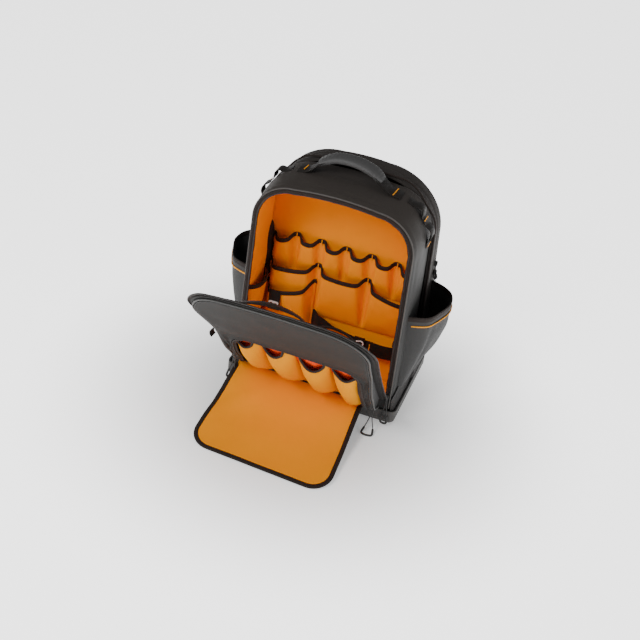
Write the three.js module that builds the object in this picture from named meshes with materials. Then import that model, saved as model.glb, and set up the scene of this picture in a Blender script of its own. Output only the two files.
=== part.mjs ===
import * as THREE from 'three';

// Tool backpack standing on its base with the front door and the front pocket flap open.
// Millimetres, +X to the right facing the open front, +Y toward the wearer, +Z up.
// The origin is the centre of the flat bottom.

// General walls and seams
const clearance = 0.3;
const shellWall = 3;
const liningWall = 1.4;
const clothWall = 2;
const bindingWidth = 10;
const pipingRadius = 1.9;
const webbingWall = 2;
const loopWebbingWidth = 25;

// Main body
const bodyHeight = 466;
const bodyHalfBottom = 171;
const bodyHalfTop = 164;
const bodyTopRadius = 80;
const bodyBottomRadius = 22;
const bodyCrown = 6;
const bodyFrontY = -95;
const bodyFrontLean = 10;
const bodyGrooveY = 45;
const bodyFrontRound = 10;
const grooveRound = 6;
const bodyBulge = 4;
const zipTapeWidth = 7;
const sillHeight = 60;

// Rear section
const rearHeight = 479;
const rearTopRadius = 122;
const rearCrown = 3;
const rearHalfBottom = 182;
const rearDepth = 60;
const rearDepthFoot = 94;
const rearRound = 14;
const backPanelThickness = 12;
const backPanelPuff = 5;
const rearWallY = 31;
const rearWallThickness = 4;

// Base boot
const bootWall = 3;
const bootHeight = 34;
const bootFloorRadius = 13;
const guardWall = 1.6;
const guardFrontHeight = 62;
const guardRearHeight = 116;

// Front door
const doorLength = 405;
const doorHingeY = -92.5;
const doorHingeZ = 60.6;
const doorLeanBottom = 43;
const doorLeanTop = 37;
const doorDrift = -14;
const doorEdgeGap = 11;
const doorTopFlare = 16;
const doorHalfBottom = bodyHalfBottom - doorEdgeGap;
const doorHalfTop = bodyHalfTop + doorTopFlare;
const doorTopRadius = 92;
const doorFlangeWall = 3;
const doorFlangeWidth = 10;
const doorLoopU = 330;
const pocketLift = 18;
const pocketSquash = 0.6;
const pocketTwist = 27;
const doorCore = 9;
const doorTabU = 210;
const doorTabGap = 1.6;
const gussetWall = 2;
const frontPanelWall = 2.5;
const mouthHeight = 236;
const mouthHalf = 142;
const mouthRadius = 52;
const mouthTapeWidth = 9;
const mouthFoot = 14;

// Front pocket flap
const flapLength = 226;
const flapHalfHinge = 141;
const flapHalfEnd = 151;
const flapCornerRadius = 46;
const flapFarY = -347;
const flapSkew = 0.07;
const flapDriftHinge = -16;
const flapDriftEnd = -18;
const flapBindingWidth = 13;
const flapWall = 4.4;

// Side pockets
const sidePocketFrontY = -58;
const sidePocketRearY = 104;
const sidePocketWall = 2.2;

// Handle, straps and zip pulls
const handleY = -5;
const loopY = -2;
const handleWebbingWidth = 36;
const gripWall = 4;
const strapWidth = 66;
const pullCordRadius = 1.5;

const footZ = bootWall + clearance;
const pipingFoot = bootHeight + pipingRadius * 2;
const bodyDepth = bodyGrooveY - bodyFrontY;
const rearFrontY = bodyGrooveY + clearance;
const rearBackY = rearFrontY + rearDepth;
const rearFootY = rearFrontY + rearDepthFoot;

const pack = new THREE.Group();
pack.name = 'tool_backpack';

const colours = {
  shell: 0x3d3b3a,
  rear: 0x2e2c2b,
  boot: 0x4a4846,
  lining: 0xf28c1a,
  binding: 0x2b201c,
  webbing: 0x1b1816,
  grip: 0x55585a,
  piping: 0xf09a30,
  greyPiping: 0x8a8a88,
  red: 0xe04a20,
  metal: 0xc4c6c8,
};

function point(x, y, z) {
  return new THREE.Vector3(x, y, z);
}

function mix(a, b, share) {
  return a + (b - a) * share;
}

// A smooth value between the rows of a table; the first column holds the shares from 0 to 1
function fromTable(rows, share, column) {
  const last = rows.length - 1;
  let index = 0;
  while (index < last - 1 && share > rows[index + 1][0]) index += 1;
  const [start, end] = [rows[index], rows[index + 1]];
  const local = THREE.MathUtils.clamp((share - start[0]) / (end[0] - start[0]), 0, 1);
  const eased = local * local * (3 - 2 * local);
  return mix(start[column], end[column], eased);
}

// One closed solid from vertices and triangles, with its faces turned outward
function closedSolid(vertices, triangles) {
  let volume = 0;
  for (const [a, b, c] of triangles) {
    volume += vertices[a].dot(new THREE.Vector3().crossVectors(vertices[b], vertices[c]));
  }
  const turned = volume < 0 ? triangles.map(([a, b, c]) => [a, c, b]) : triangles;
  const geometry = new THREE.BufferGeometry();
  geometry.setAttribute('position', new THREE.Float32BufferAttribute(
    vertices.flatMap((vertex) => vertex.toArray()), 3));
  geometry.setIndex(turned.flat());
  return geometry;
}

// A wall between an outer and an inner grid of points; rows wrap round when closed
function wallSolid(outer, inner, closed = false) {
  const rows = outer.length;
  const columns = outer[0].length;
  const vertices = [...outer.flat(), ...inner.flat()];
  const at = (side, row, column) => side * rows * columns + row * columns + (column % columns);
  const triangles = [];
  const quad = (a, b, c, d) => triangles.push([a, b, c], [a, c, d]);
  const spans = closed ? columns : columns - 1;
  for (let row = 0; row < rows - 1; row += 1) {
    for (let column = 0; column < spans; column += 1) {
      quad(at(0, row, column), at(0, row, column + 1),
        at(0, row + 1, column + 1), at(0, row + 1, column));
      quad(at(1, row, column), at(1, row + 1, column),
        at(1, row + 1, column + 1), at(1, row, column + 1));
    }
  }
  for (let column = 0; column < spans; column += 1) {
    quad(at(0, 0, column), at(1, 0, column), at(1, 0, column + 1), at(0, 0, column + 1));
    quad(at(0, rows - 1, column), at(0, rows - 1, column + 1),
      at(1, rows - 1, column + 1), at(1, rows - 1, column));
  }
  if (!closed) {
    for (let row = 0; row < rows - 1; row += 1) {
      quad(at(0, row, 0), at(0, row + 1, 0), at(1, row + 1, 0), at(1, row, 0));
      quad(at(0, row, spans), at(1, row, spans), at(1, row + 1, spans), at(0, row + 1, spans));
    }
  }
  return closedSolid(vertices, triangles);
}

// Outer and inner points of a cloth sheet: surface(u, v) gives its face and the wall lies
// behind it; with `upright` given, both faces end at the same height along it
function sheetGrid(columns, rows, surface, thickness, upright = null) {
  const step = 0.002;
  const outer = [];
  const inner = [];
  for (let row = 0; row <= rows; row += 1) {
    const outerRow = [];
    const innerRow = [];
    for (let column = 0; column <= columns; column += 1) {
      const [u, v] = [column / columns, row / rows];
      const alongU = surface(Math.min(u + step, 1), v).sub(surface(Math.max(u - step, 0), v));
      const alongV = surface(u, Math.min(v + step, 1)).sub(surface(u, Math.max(v - step, 0)));
      const normal = alongU.cross(alongV);
      if (upright) normal.addScaledVector(upright, -normal.dot(upright));
      normal.normalize();
      const face = surface(u, v);
      outerRow.push(face);
      innerRow.push(face.clone().addScaledVector(normal, -thickness));
    }
    outer.push(outerRow);
    inner.push(innerRow);
  }
  return [outer, inner];
}

function sheet(columns, rows, surface, thickness, upright = null) {
  return wallSolid(...sheetGrid(columns, rows, surface, thickness, upright));
}

// A solid through closed rings of points, capped at both ends
function loftSolid(rings) {
  const columns = rings[0].length;
  const vertices = rings.flat();
  const triangles = [];
  for (let row = 0; row < rings.length - 1; row += 1) {
    for (let column = 0; column < columns; column += 1) {
      const next = (column + 1) % columns;
      const [a, b] = [row * columns + column, row * columns + next];
      const [c, d] = [b + columns, a + columns];
      triangles.push([a, b, c], [a, c, d]);
    }
  }
  const capped = [[0, false], [rings.length - 1, true]];
  for (const [row, forward] of capped) {
    const middle = rings[row].reduce((sum, each) => sum.add(each), point(0, 0, 0));
    vertices.push(middle.divideScalar(columns));
    for (let column = 0; column < columns; column += 1) {
      const [a, b] = [row * columns + column, row * columns + (column + 1) % columns];
      triangles.push(forward ? [a, b, vertices.length - 1] : [b, a, vertices.length - 1]);
    }
  }
  return closedSolid(vertices, triangles);
}

// A section carried along a path; section gives [side, up] pairs, up stays near `upward`
function sweep(path, section, upward, closed = false) {
  const rings = path.map((centre, index) => {
    const before = path[closed ? (index + path.length - 1) % path.length : Math.max(index - 1, 0)];
    const after = path[closed ? (index + 1) % path.length : Math.min(index + 1, path.length - 1)];
    const along = after.clone().sub(before).normalize();
    const guide = typeof upward === 'function' ? upward(index, centre) : upward;
    const side = along.clone().cross(guide).normalize();
    const up = side.clone().cross(along).normalize();
    return section.map(([across, rise]) => centre.clone()
      .addScaledVector(side, across).addScaledVector(up, rise));
  });
  if (!closed) return loftSolid(rings);
  const around = section.length;
  const triangles = [];
  for (let row = 0; row < rings.length; row += 1) {
    for (let column = 0; column < around; column += 1) {
      const next = (column + 1) % around;
      const following = (row + 1) % rings.length;
      const [a, b] = [row * around + column, row * around + next];
      const [c, d] = [following * around + next, following * around + column];
      triangles.push([a, b, c], [a, c, d]);
    }
  }
  return closedSolid(rings.flat(), triangles);
}

function roundSection(radius, sides) {
  return Array.from({ length: sides }, (unused, index) => {
    const angle = (index / sides) * 2 * Math.PI;
    return [radius * Math.cos(angle), radius * Math.sin(angle)];
  });
}

// A flat band section: `width` across and `thickness` up, with its underside on the path
function bandSection(width, thickness) {
  return [[-width / 2, 0], [width / 2, 0], [width / 2, thickness], [-width / 2, thickness]];
}

// An edge section standing on the path: `height` up and `thickness` across
function edgeSection(height, thickness) {
  return [[-thickness / 2, 0], [thickness / 2, 0], [thickness / 2, height],
    [-thickness / 2, height]];
}

function smoothPath(points, steps, closed = false) {
  const curve = new THREE.CatmullRomCurve3(points, closed, 'centripetal');
  const spaced = curve.getSpacedPoints(steps);
  return closed ? spaced.slice(0, -1) : spaced;
}

function addMesh(name, geometry, colour, roughness = 0.85, metalness = 0) {
  const material = new THREE.MeshStandardMaterial({ color: colour, roughness, metalness });
  const mesh = new THREE.Mesh(geometry, material);
  mesh.name = name;
  pack.add(mesh);
}

// A cloth pocket wall, with a binding standing on its mouth when a name is given for one
function addCloth(name, columns, rows, surface, wall, upright, colour, bindingName = null) {
  const [outer, inner] = sheetGrid(columns, rows, surface, wall, upright);
  addMesh(name, wallSolid(outer, inner), colour);
  if (!bindingName) return [outer, inner];
  const mouth = outer[rows].map((face, index) => face.clone().lerp(inner[rows][index], 0.5)
    .addScaledVector(upright, clearance * 3));
  addMesh(bindingName, sweep(mouth, edgeSection(bindingWidth * 0.65, wall + 0.6), upright),
    colours.binding);
  return [outer, inner];
}

// An arch seen from the front, from the bottom left over the top to the bottom right:
// slightly slanted sides, round shoulders and a crowned top, all moved inward by `inset`
function archPoints(form, inset, withFoot = false) {
  const { halfBottom, halfTop, height, foot, topRadius, bottomRadius, crown } = form;
  const top = height - inset;
  const bottom = foot + inset;
  const shoulder = Math.max(topRadius - inset, 4);
  const heel = Math.max(bottomRadius - inset, 2);
  const [right, wide] = [halfTop - inset, halfBottom - inset];
  const path = new THREE.Path();
  path.moveTo(wide, bottom + heel);
  path.lineTo(right, top - shoulder);
  path.absarc(right - shoulder, top - shoulder, shoulder, 0, Math.PI / 2, false);
  path.quadraticCurveTo(0, top + 2 * crown, shoulder - right, top);
  path.absarc(shoulder - right, top - shoulder, shoulder, Math.PI / 2, Math.PI, false);
  path.lineTo(-wide, bottom + heel);
  const stations = [4, 5, 5, 5, 4];
  if (withFoot) {
    path.absarc(heel - wide, bottom + heel, heel, Math.PI, Math.PI * 1.5, false);
    path.lineTo(wide - heel, bottom);
    path.absarc(wide - heel, bottom + heel, heel, Math.PI * 1.5, Math.PI * 2, false);
    stations.push(2, 4, 2);
  }
  const curves = path.curves.filter((curve) => curve.getLength() > 0.01);
  const points = [];
  curves.forEach((curve, index) => {
    const spaced = curve.getSpacedPoints(stations[index]);
    points.push(...(index === 0 ? spaced : spaced.slice(1)));
  });
  return withFoot ? points.slice(0, -1) : points;
}

// Half width of an arch's slanted side at a height
function halfAt(form, z) {
  const low = form.foot + form.bottomRadius;
  const high = form.height - form.topRadius;
  const share = THREE.MathUtils.clamp((z - low) / (high - low), 0, 1);
  return mix(form.halfBottom, form.halfTop, share);
}

// The part of an arch above the height `low`, as an open line
function archFrom(form, inset, low) {
  const heel = Math.max(form.bottomRadius - inset, 2);
  return archPoints({ ...form, halfBottom: halfAt(form, low), foot: low - inset - heel }, inset);
}

const bodyForm = {
  halfBottom: bodyHalfBottom,
  halfTop: bodyHalfTop,
  height: bodyHeight,
  foot: footZ,
  topRadius: bodyTopRadius,
  bottomRadius: bodyBottomRadius,
  crown: bodyCrown,
};
const rearForm = {
  ...bodyForm,
  halfBottom: rearHalfBottom,
  halfTop: bodyHalfBottom,
  height: rearHeight,
  topRadius: rearTopRadius,
  crown: rearCrown,
};

// The front edge leans back with height; `share` runs from that edge to the groove
function bodyY(share, z) {
  const front = bodyFrontY + bodyFrontLean * (z / bodyHeight);
  return mix(front, bodyGrooveY, share);
}

// The sides and the top swell by `bulge`; the bottom stays flat
function bodyRing(inset, share, bulge = 0) {
  const swollen = {
    ...bodyForm,
    halfBottom: bodyHalfBottom + bulge,
    halfTop: bodyHalfTop + bulge,
    height: bodyHeight + bulge,
    topRadius: bodyTopRadius + bulge,
  };
  return archPoints(swollen, inset, true).map(({ x, y: z }) => point(x, bodyY(share, z), z));
}

function bodyHalfAt(z) {
  return halfAt(bodyForm, z);
}

// Quarter round in [depth, inset] pairs, from the end face to the side
function quarterRound(radius, wall, stations = 3) {
  return Array.from({ length: stations }, (unused, index) => {
    const angle = (1 - index / (stations - 1)) * (Math.PI / 2);
    const reach = radius - wall;
    return [radius - reach * Math.sin(angle), radius - reach * Math.cos(angle)];
  });
}

const bulgeRows = [0.35, 0.7].map((share) => [share, bodyBulge * Math.sin(Math.PI * share)]);
function outerShell() {
  const rows = (wall) => {
    const front = quarterRound(bodyFrontRound, wall).map(([depth, inset]) => [depth, inset, 0]);
    const rear = quarterRound(grooveRound, wall)
      .map(([depth, inset]) => [bodyDepth - depth, inset, 0]).reverse();
    const middle = bulgeRows.map(([share, bulge]) => [bodyDepth * share, wall, bulge]);
    return [...front, ...middle, ...rear]
      .map(([depth, inset, bulge]) => bodyRing(inset, depth / bodyDepth, bulge));
  };
  addMesh('outer_shell', wallSolid(rows(0), rows(shellWall), true), colours.shell);
}

// Orange lining of the main compartment's sides, top and floor, and its rear wall
const liningInset = shellWall + clearance;
function mainLining() {
  const start = bodyFrontRound / bodyDepth;
  const end = (rearWallY - clearance - bodyFrontY) / bodyDepth;
  const rows = (inset) => [start, mix(start, end, 0.5), end].map((share) => {
    const wallY = rearWallY - clearance;
    return bodyRing(inset, share).map((each) => point(each.x, Math.min(each.y, wallY), each.z));
  });
  const solid = wallSolid(rows(liningInset), rows(liningInset + liningWall), true);
  addMesh('main_lining', solid, colours.lining);
}

function slab(form, inset, front, back) {
  const outline = archPoints(form, inset, true);
  const ring = (y) => outline.map(({ x, y: z }) => point(x, y, z));
  return loftSolid([ring(front), ring(back)]);
}

function rearWall() {
  const solid = slab(bodyForm, liningInset, rearWallY, rearWallY + rearWallThickness);
  addMesh('rear_wall_lining', solid, colours.lining);
}

function openingEdge() {
  const start = bodyFrontRound + clearance;
  const ring = (inset, back) => archFrom(bodyForm, inset, sillHeight)
    .map(({ x, y: z }) => point(x, bodyY(0, z) + back, z));
  const outer = [ring(start, 0.4), ring(start + zipTapeWidth, 0.4)];
  const inner = [ring(start, 0.4 + clothWall), ring(start + zipTapeWidth, 0.4 + clothWall)];
  addMesh('opening_zip_tape', wallSolid(outer, inner), colours.binding);

  const diagonal = Math.SQRT1_2;
  const seat = bodyFrontRound * (1 - diagonal) - (pipingRadius + clearance) * diagonal;
  const seam = archFrom(bodyForm, seat, pipingFoot)
    .map(({ x, y: z }) => point(x, bodyY(seat / bodyDepth, z), z));
  addMesh('opening_piping', sweep(seam, roundSection(pipingRadius, 4), point(0, 1, 0)),
    colours.binding);
}

function frontSill() {
  const low = footZ + bodyFrontRound + clearance;
  const surface = (u, v) => {
    const z = mix(low, sillHeight - clearance, v);
    const corner = Math.max(bodyBottomRadius - bodyFrontRound - (z - low), 0);
    const side = bodyHalfAt(z) - bodyFrontRound - clearance - corner;
    return point(mix(-side, side, u), bodyY(0, z), z);
  };
  addMesh('front_sill', sheet(4, 3, surface, shellWall), colours.shell);
}

// The back slopes: the rear section is deepest at the foot
function rearY(z, fromBack) {
  return mix(rearFootY, rearBackY, z / rearHeight) - fromBack;
}

function rearSection() {
  const ring = (inset, place) => archPoints(rearForm, inset, true)
    .map(({ x, y: z }) => point(x, place(z), z));
  const rows = (wall) => [
    ...quarterRound(grooveRound, wall).map(([d, inset]) => ring(inset, () => rearFrontY + d)),
    ...quarterRound(rearRound, wall).reverse()
      .map(([d, inset]) => ring(inset, (z) => rearY(z, d))),
  ];
  addMesh('rear_section_shell', wallSolid(rows(0), rows(shellWall), true), colours.rear);

  const seat = rearRound + clearance;
  const panelRows = [
    [backPanelThickness, seat],
    [2, seat],
    [0, seat + 4],
    [0, bootHeight],
    [-backPanelPuff, bootHeight + 26],
  ];
  const panel = loftSolid(panelRows.map(([depth, inset]) => ring(inset, (z) => rearY(z, depth))));
  addMesh('back_panel', panel, colours.rear);

  const rearLoop = archFrom(rearForm, clearance, pipingFoot);
  const bodyLoop = archFrom(bodyForm, clearance, pipingFoot);
  const groove = rearLoop.map((each, index) => {
    const other = bodyLoop[index];
    const reach = Math.max(Math.abs(each.x), Math.abs(other.x));
    return point(Math.sign(each.x) * reach, bodyGrooveY + clearance / 2,
      Math.max(each.y, other.y));
  });
  addMesh('groove_piping', sweep(groove, roundSection(pipingRadius, 4), point(0, 1, 0)),
    colours.binding);
}

// Moulded tray under the whole pack: a rounded floor edge and low walls
function baseBoot() {
  const reach = bootWall + clearance;
  const outline = (inset, z) => {
    const half = rearHalfBottom + reach - inset;
    const front = bodyFrontY - reach + inset;
    const back = rearFootY + reach - inset;
    const corner = Math.max(bodyFrontRound + reach - inset, 2);
    const shape = new THREE.Path();
    shape.absarc(half - corner, back - corner, corner, 0, Math.PI / 2, false);
    shape.absarc(corner - half, back - corner, corner, Math.PI / 2, Math.PI, false);
    shape.absarc(corner - half, front + corner, corner, Math.PI, Math.PI * 1.5, false);
    shape.absarc(half - corner, front + corner, corner, Math.PI * 1.5, Math.PI * 2, false);
    const points = shape.curves.filter((curve) => curve.type === 'EllipseCurve')
      .flatMap((curve) => curve.getPoints(4));
    return points.map(({ x, y }) => point(x, y, z));
  };
  const outerRings = quarterRound(bootFloorRadius, 0, 4).map(([z, inset]) => outline(inset, z));
  outerRings.push(outline(0, bootHeight));
  const innerRadius = bootFloorRadius - bootWall;
  const innerRings = quarterRound(innerRadius, 0, 4)
    .map(([z, inset]) => outline(inset + bootWall, z + bootWall));
  innerRings.push(outline(bootWall, bootHeight));
  const rings = [...outerRings, ...innerRings.reverse()];
  addMesh('base_boot', loftSolid(rings), colours.boot, 0.6);
}

// Outer face of the body's side; side is -1 for left and 1 for right
function sideX(side, y, z, off) {
  const share = THREE.MathUtils.clamp((y - bodyFrontY) / bodyDepth, 0, 1);
  return side * (bodyHalfAt(z) + bodyBulge * Math.sin(Math.PI * share) + off);
}

// Dark cloth guards on the lower sides, their top seam rising to the rear
function sideGuard(side, name) {
  const surface = (u, v) => {
    const y = mix(bodyFrontY + bodyFrontRound + 2, bodyGrooveY - grooveRound, u);
    const top = mix(guardFrontHeight, guardRearHeight, u);
    const z = mix(bootHeight + clearance, top, v);
    return point(sideX(side, y, z, clearance + guardWall), y, z);
  };
  const flipped = side > 0 ? surface : (u, v) => surface(1 - u, v);
  addMesh(name, sheet(8, 2, flipped, guardWall), colours.boot);
}

// Side pockets: columns are share of the run from front to rear, mouth reach from the body,
// mouth height, foot reach and foot height
const sidePocketRows = [
  [0, 0, 236, 0, 70],
  [0.14, 31, 232, 22, 74],
  [0.38, 46, 229, 36, 80],
  [0.63, 52, 229, 44, 92],
  [0.85, 40, 232, 34, 106],
  [1, 0, 234, 0, 118],
];
function sidePocket(side, label, fullness, lift) {
  const off = clearance * 2 + guardWall + sidePocketWall;
  const seatAt = (y, z) => {
    const share = THREE.MathUtils.clamp((y + 10) / (bodyGrooveY + 5), 0, 1);
    return off + mix(Math.abs(sideX(side, y, z, 0)), halfAt(rearForm, z), share);
  };
  const place = (u, v) => {
    const y = mix(sidePocketFrontY, sidePocketRearY, u);
    const z = mix(fromTable(sidePocketRows, u, 4), fromTable(sidePocketRows, u, 2) + lift, v);
    const fill = Math.sin(Math.min(v * 1.35, 1) * (Math.PI / 2));
    const foot = fromTable(sidePocketRows, u, 3);
    const full = mix(foot, fromTable(sidePocketRows, u, 1), v);
    return point(side * (seatAt(y, z) + fullness * mix(foot * 0.25, full, fill)), y, z);
  };
  const surface = (u, v) => place(side > 0 ? u : 1 - u, 1 - (1 - v) ** 1.5);
  const [outer, inner] = addCloth(`side_pocket_${label}`, 14, 5, surface, sidePocketWall,
    point(0, 0, 1), colours.shell, `side_pocket_binding_${label}`);

  const thin = pipingRadius * 0.8;
  const line = outer[4].slice(1, -1).map((face, index) => {
    const outward = face.clone().sub(inner[4][index + 1]).normalize();
    return face.clone().addScaledVector(outward, thin + clearance * 3);
  });
  addMesh(`side_pocket_piping_${label}`,
    sweep(line, roundSection(thin, 5), point(0, 0, 1)), colours.piping);
}

// Tool loops on the rear wall. Each strip is stitched to the wall at its ticks and bulges
// between them; the mouth is high at the ticks and sags between them.
// Columns: share of the half width, height of the mouth there
const rowEnd = 0.985;
const upperTicks = [[-rowEnd, 296], [-0.65, 306], [-0.31, 305], [0.03, 305], [0.37, 304],
  [0.71, 303], [rowEnd, 296]];
const middleTicks = [[-rowEnd, 232], [-0.31, 246], [0.37, 243], [rowEnd, 226]];
const lowerTicks = [[-rowEnd, 168], [-0.31, 200]];
const pocketRowsTable = {
  upper: { ticks: upperTicks, foot: 214, bulge: 15, sag: 17, layer: 0 },
  middle: { ticks: middleTicks, foot: 128, bulge: 26, sag: 24, layer: 1 },
  lower: { ticks: lowerTicks, foot: 62, bulge: 36, sag: 26, layer: 2 },
};
const pocketHalf = bodyHalfTop - liningInset - liningWall - clearance;
const layerGap = 1.6;
function rowSurface({ ticks, foot, bulge, sag, layer }) {
  const spans = ticks.length - 1;
  return (u, v) => {
    const span = Math.min(Math.floor(u * spans), spans - 1);
    const local = u * spans - span;
    const [start, end] = [ticks[span], ticks[span + 1]];
    const swell = Math.sin(Math.PI * local) ** 0.5;
    const top = mix(start[1], end[1], local) - sag * Math.sin(Math.PI * local) ** 0.4;
    const x = mix(start[0], end[0], local) * pocketHalf;
    const rise = Math.sin((Math.PI / 2) * v) ** 0.8;
    const base = rearWallY - clearance - clothWall - layer * (clothWall + layerGap);
    return point(x, base - bulge * swell * rise, mix(foot, top, v));
  };
}

function pocketRow(name) {
  const row = pocketRowsTable[name];
  const columns = (row.ticks.length - 1) * (name === 'upper' ? 5 : 6);
  addCloth(`${name}_pocket_row`, columns, 3, rowSurface(row), clothWall, point(0, 0, 1),
    colours.lining, `${name}_row_binding`);
}

// Webbing tab with a small plain metal plate on the lower row
const tabWidth = 26;
const tabShare = -0.77;
function plateTab() {
  const place = rowSurface(pocketRowsTable.lower);
  const spread = (tabShare - lowerTicks[0][0]) / (lowerTicks[1][0] - lowerTicks[0][0]);
  const anchor = place(spread, 1);
  const front = Math.min(anchor.y, place(spread + 0.15, 1).y, place(spread + 0.15, 0.9).y);
  const face = front + 0.1;
  const path = [0, 0.5, 1].map((share) => point(anchor.x, face - 3 * share,
    anchor.z + 4 - 42 * share));
  addMesh('plate_tab', sweep(path, bandSection(tabWidth, webbingWall), point(0, -1, 0)),
    colours.webbing);

  const plate = new THREE.Shape();
  const [plateHalf, plateHigh, plateRound] = [8.5, 6.5, 3];
  plate.moveTo(plateRound - plateHalf, -plateHigh);
  plate.lineTo(plateHalf - plateRound, -plateHigh);
  plate.quadraticCurveTo(plateHalf, -plateHigh, plateHalf, plateRound - plateHigh);
  plate.lineTo(plateHalf, plateHigh - plateRound);
  plate.quadraticCurveTo(plateHalf, plateHigh, plateHalf - plateRound, plateHigh);
  plate.lineTo(plateRound - plateHalf, plateHigh);
  plate.quadraticCurveTo(-plateHalf, plateHigh, -plateHalf, plateHigh - plateRound);
  plate.lineTo(-plateHalf, plateRound - plateHigh);
  plate.quadraticCurveTo(-plateHalf, -plateHigh, plateRound - plateHalf, -plateHigh);
  for (const side of [-1, 1]) {
    const hole = new THREE.Path();
    hole.absarc(side * plateHalf * 0.45, -1, 2, 0, Math.PI * 2, true);
    plate.holes.push(hole);
  }
  const metal = new THREE.ExtrudeGeometry(plate, { depth: 1.6, bevelEnabled: false,
    curveSegments: 3 });
  metal.rotateX(Math.PI / 2);
  const drop = 26 / 42;
  metal.translate(anchor.x, face - 3 * drop - webbingWall - clearance - 0.3,
    anchor.z + 4 - 42 * drop);
  addMesh('plate_tab_metal', metal, colours.metal, 0.3, 1);
}

// Wide dark band across the lower rear wall, with a snap clip on a short tab.
// Columns: share of the half width, stand-off from the wall, middle height, width of the band
const bandRows = [
  [-0.3, 12, 118, 50],
  [-0.18, 26, 116, 46],
  [0.1, 30, 106, 36],
  [0.4, 29, 100, 32],
  [0.75, 29, 99, 32],
  [0.97, 22, 98, 32],
];
function tapeBand() {
  const rings = bandRows.map(([share, stand, height, width]) => {
    const x = share * pocketHalf;
    const y = rearWallY - stand;
    const high = height + width / 2;
    const low = height - width / 2;
    return [point(x, y, low), point(x, y, high), point(x, y + webbingWall, high),
      point(x, y + webbingWall, low)];
  });
  const [, stand, height, width] = bandRows[bandRows.length - 1];
  const endX = bodyHalfAt(height + width) - liningInset - liningWall - clearance;
  rings.push(rings[rings.length - 1].map((each) => point(endX, rearWallY - stand
    + each.y - rings[rings.length - 1][0].y, each.z)));
  addMesh('tape_band', loftSolid(rings), colours.webbing);

  const tabX = pocketHalf * 0.42;
  const face = rearWallY - 29.6 - clearance;
  const tab = [0, 1].map((share) => point(tabX, face, 122 - 58 * share));
  addMesh('clip_tab', sweep(tab, bandSection(24, webbingWall), point(0, -1, 0)),
    colours.webbing);
  const hook = smoothPath([point(tabX - 7, 0, 112), point(tabX + 6, 0, 115),
    point(tabX + 9, 0, 107), point(tabX, 0, 101), point(tabX - 1, 0, 92),
    point(tabX + 1, 0, 84)], 10).map((each) => each.setY(face - webbingWall - 2.4));
  addMesh('snap_clip', sweep(hook, roundSection(1.9, 5), point(0, -1, 0)),
    colours.metal, 0.3, 1);
}

// Small pockets on the lining's left and right walls.
// Columns: front Y, rear Y, foot height, mouth height at the front, at the rear, bulge
const wallPocketTable = {
  left: { side: -1, front: -70, rear: 14, foot: 70, mouthFront: 214, mouthRear: 224, bulge: 17 },
  right: { side: 1, front: -76, rear: -8, foot: 70, mouthFront: 176, mouthRear: 172, bulge: 15 },
};
function wallPocket(label) {
  const { side, front, rear, foot, mouthFront, mouthRear, bulge } = wallPocketTable[label];
  const place = (u, v) => {
    const y = mix(front, rear, u);
    const mouth = mix(mouthFront, mouthRear, u) - 8 * Math.sin(Math.PI * u);
    const z = mix(foot, mouth, v);
    const swell = Math.sin(Math.PI * u) ** 0.7 * Math.sin((Math.PI / 2) * v);
    const seat = liningInset + liningWall + clearance + clothWall;
    return point(side * (bodyHalfAt(z) - seat - bulge * swell), y, z);
  };
  const surface = (u, v) => place(side < 0 ? u : 1 - u, v);
  addCloth(`${label}_wall_pocket`, 8, 3, surface, clothWall, point(0, 0, 1), colours.lining);
}

// Depth of the front pocket off the door. Columns: share of the door's length, depth in mm
const pocketDepthRows = [[0, 24], [0.14, 38], [0.32, 34], [0.6, 17], [1, 10]];

// The soft left edge is drawn in. Columns: share of the door's length, mm at the edge
const doorTuckRows = [[0, 8], [0.3, 24], [0.6, 22], [0.85, 4], [1, 0]];

// The door leans forward from its hinge and curves slightly; u runs from the hinge along the
// door, n stands off its inner face toward the outside
function doorPoint(x, u, n) {
  const share = u / doorLength;
  const bend = THREE.MathUtils.degToRad(mix(doorLeanBottom, doorLeanTop, share / 2));
  const lean = THREE.MathUtils.degToRad(mix(doorLeanBottom, doorLeanTop, share));
  const left = 0.5 - x / doorHalfBottom / 2;
  const pocketPart = Math.max(n - doorCore, 0);
  const depth = n - pocketPart * pocketSquash * left * (1 - share) ** 2;
  const twist = pocketLift - pocketTwist * (x / doorHalfBottom);
  const along = u + twist * (pocketPart / pocketDepthRows[1][1]) * (1 - share);
  const tuck = fromTable(doorTuckRows, share, 1) * (Math.min(x, 0) / doorHalfBottom) ** 2;
  return point(
    x + tuck + doorDrift * share,
    doorHingeY - along * Math.sin(bend) - depth * Math.cos(lean),
    doorHingeZ + along * Math.cos(bend) - depth * Math.sin(lean),
  );
}

const doorForm = {
  halfBottom: doorHalfBottom,
  halfTop: doorHalfTop,
  height: doorLength,
  foot: 0,
  topRadius: doorTopRadius,
  bottomRadius: 12,
  crown: 5,
};
const mouthForm = {
  halfBottom: mouthHalf,
  halfTop: mouthHalf,
  height: mouthHeight,
  foot: mouthFoot,
  topRadius: mouthRadius,
  bottomRadius: 2,
  crown: 3,
};

function pocketDepth(u) {
  return fromTable(pocketDepthRows, u / doorLength, 1);
}

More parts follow.
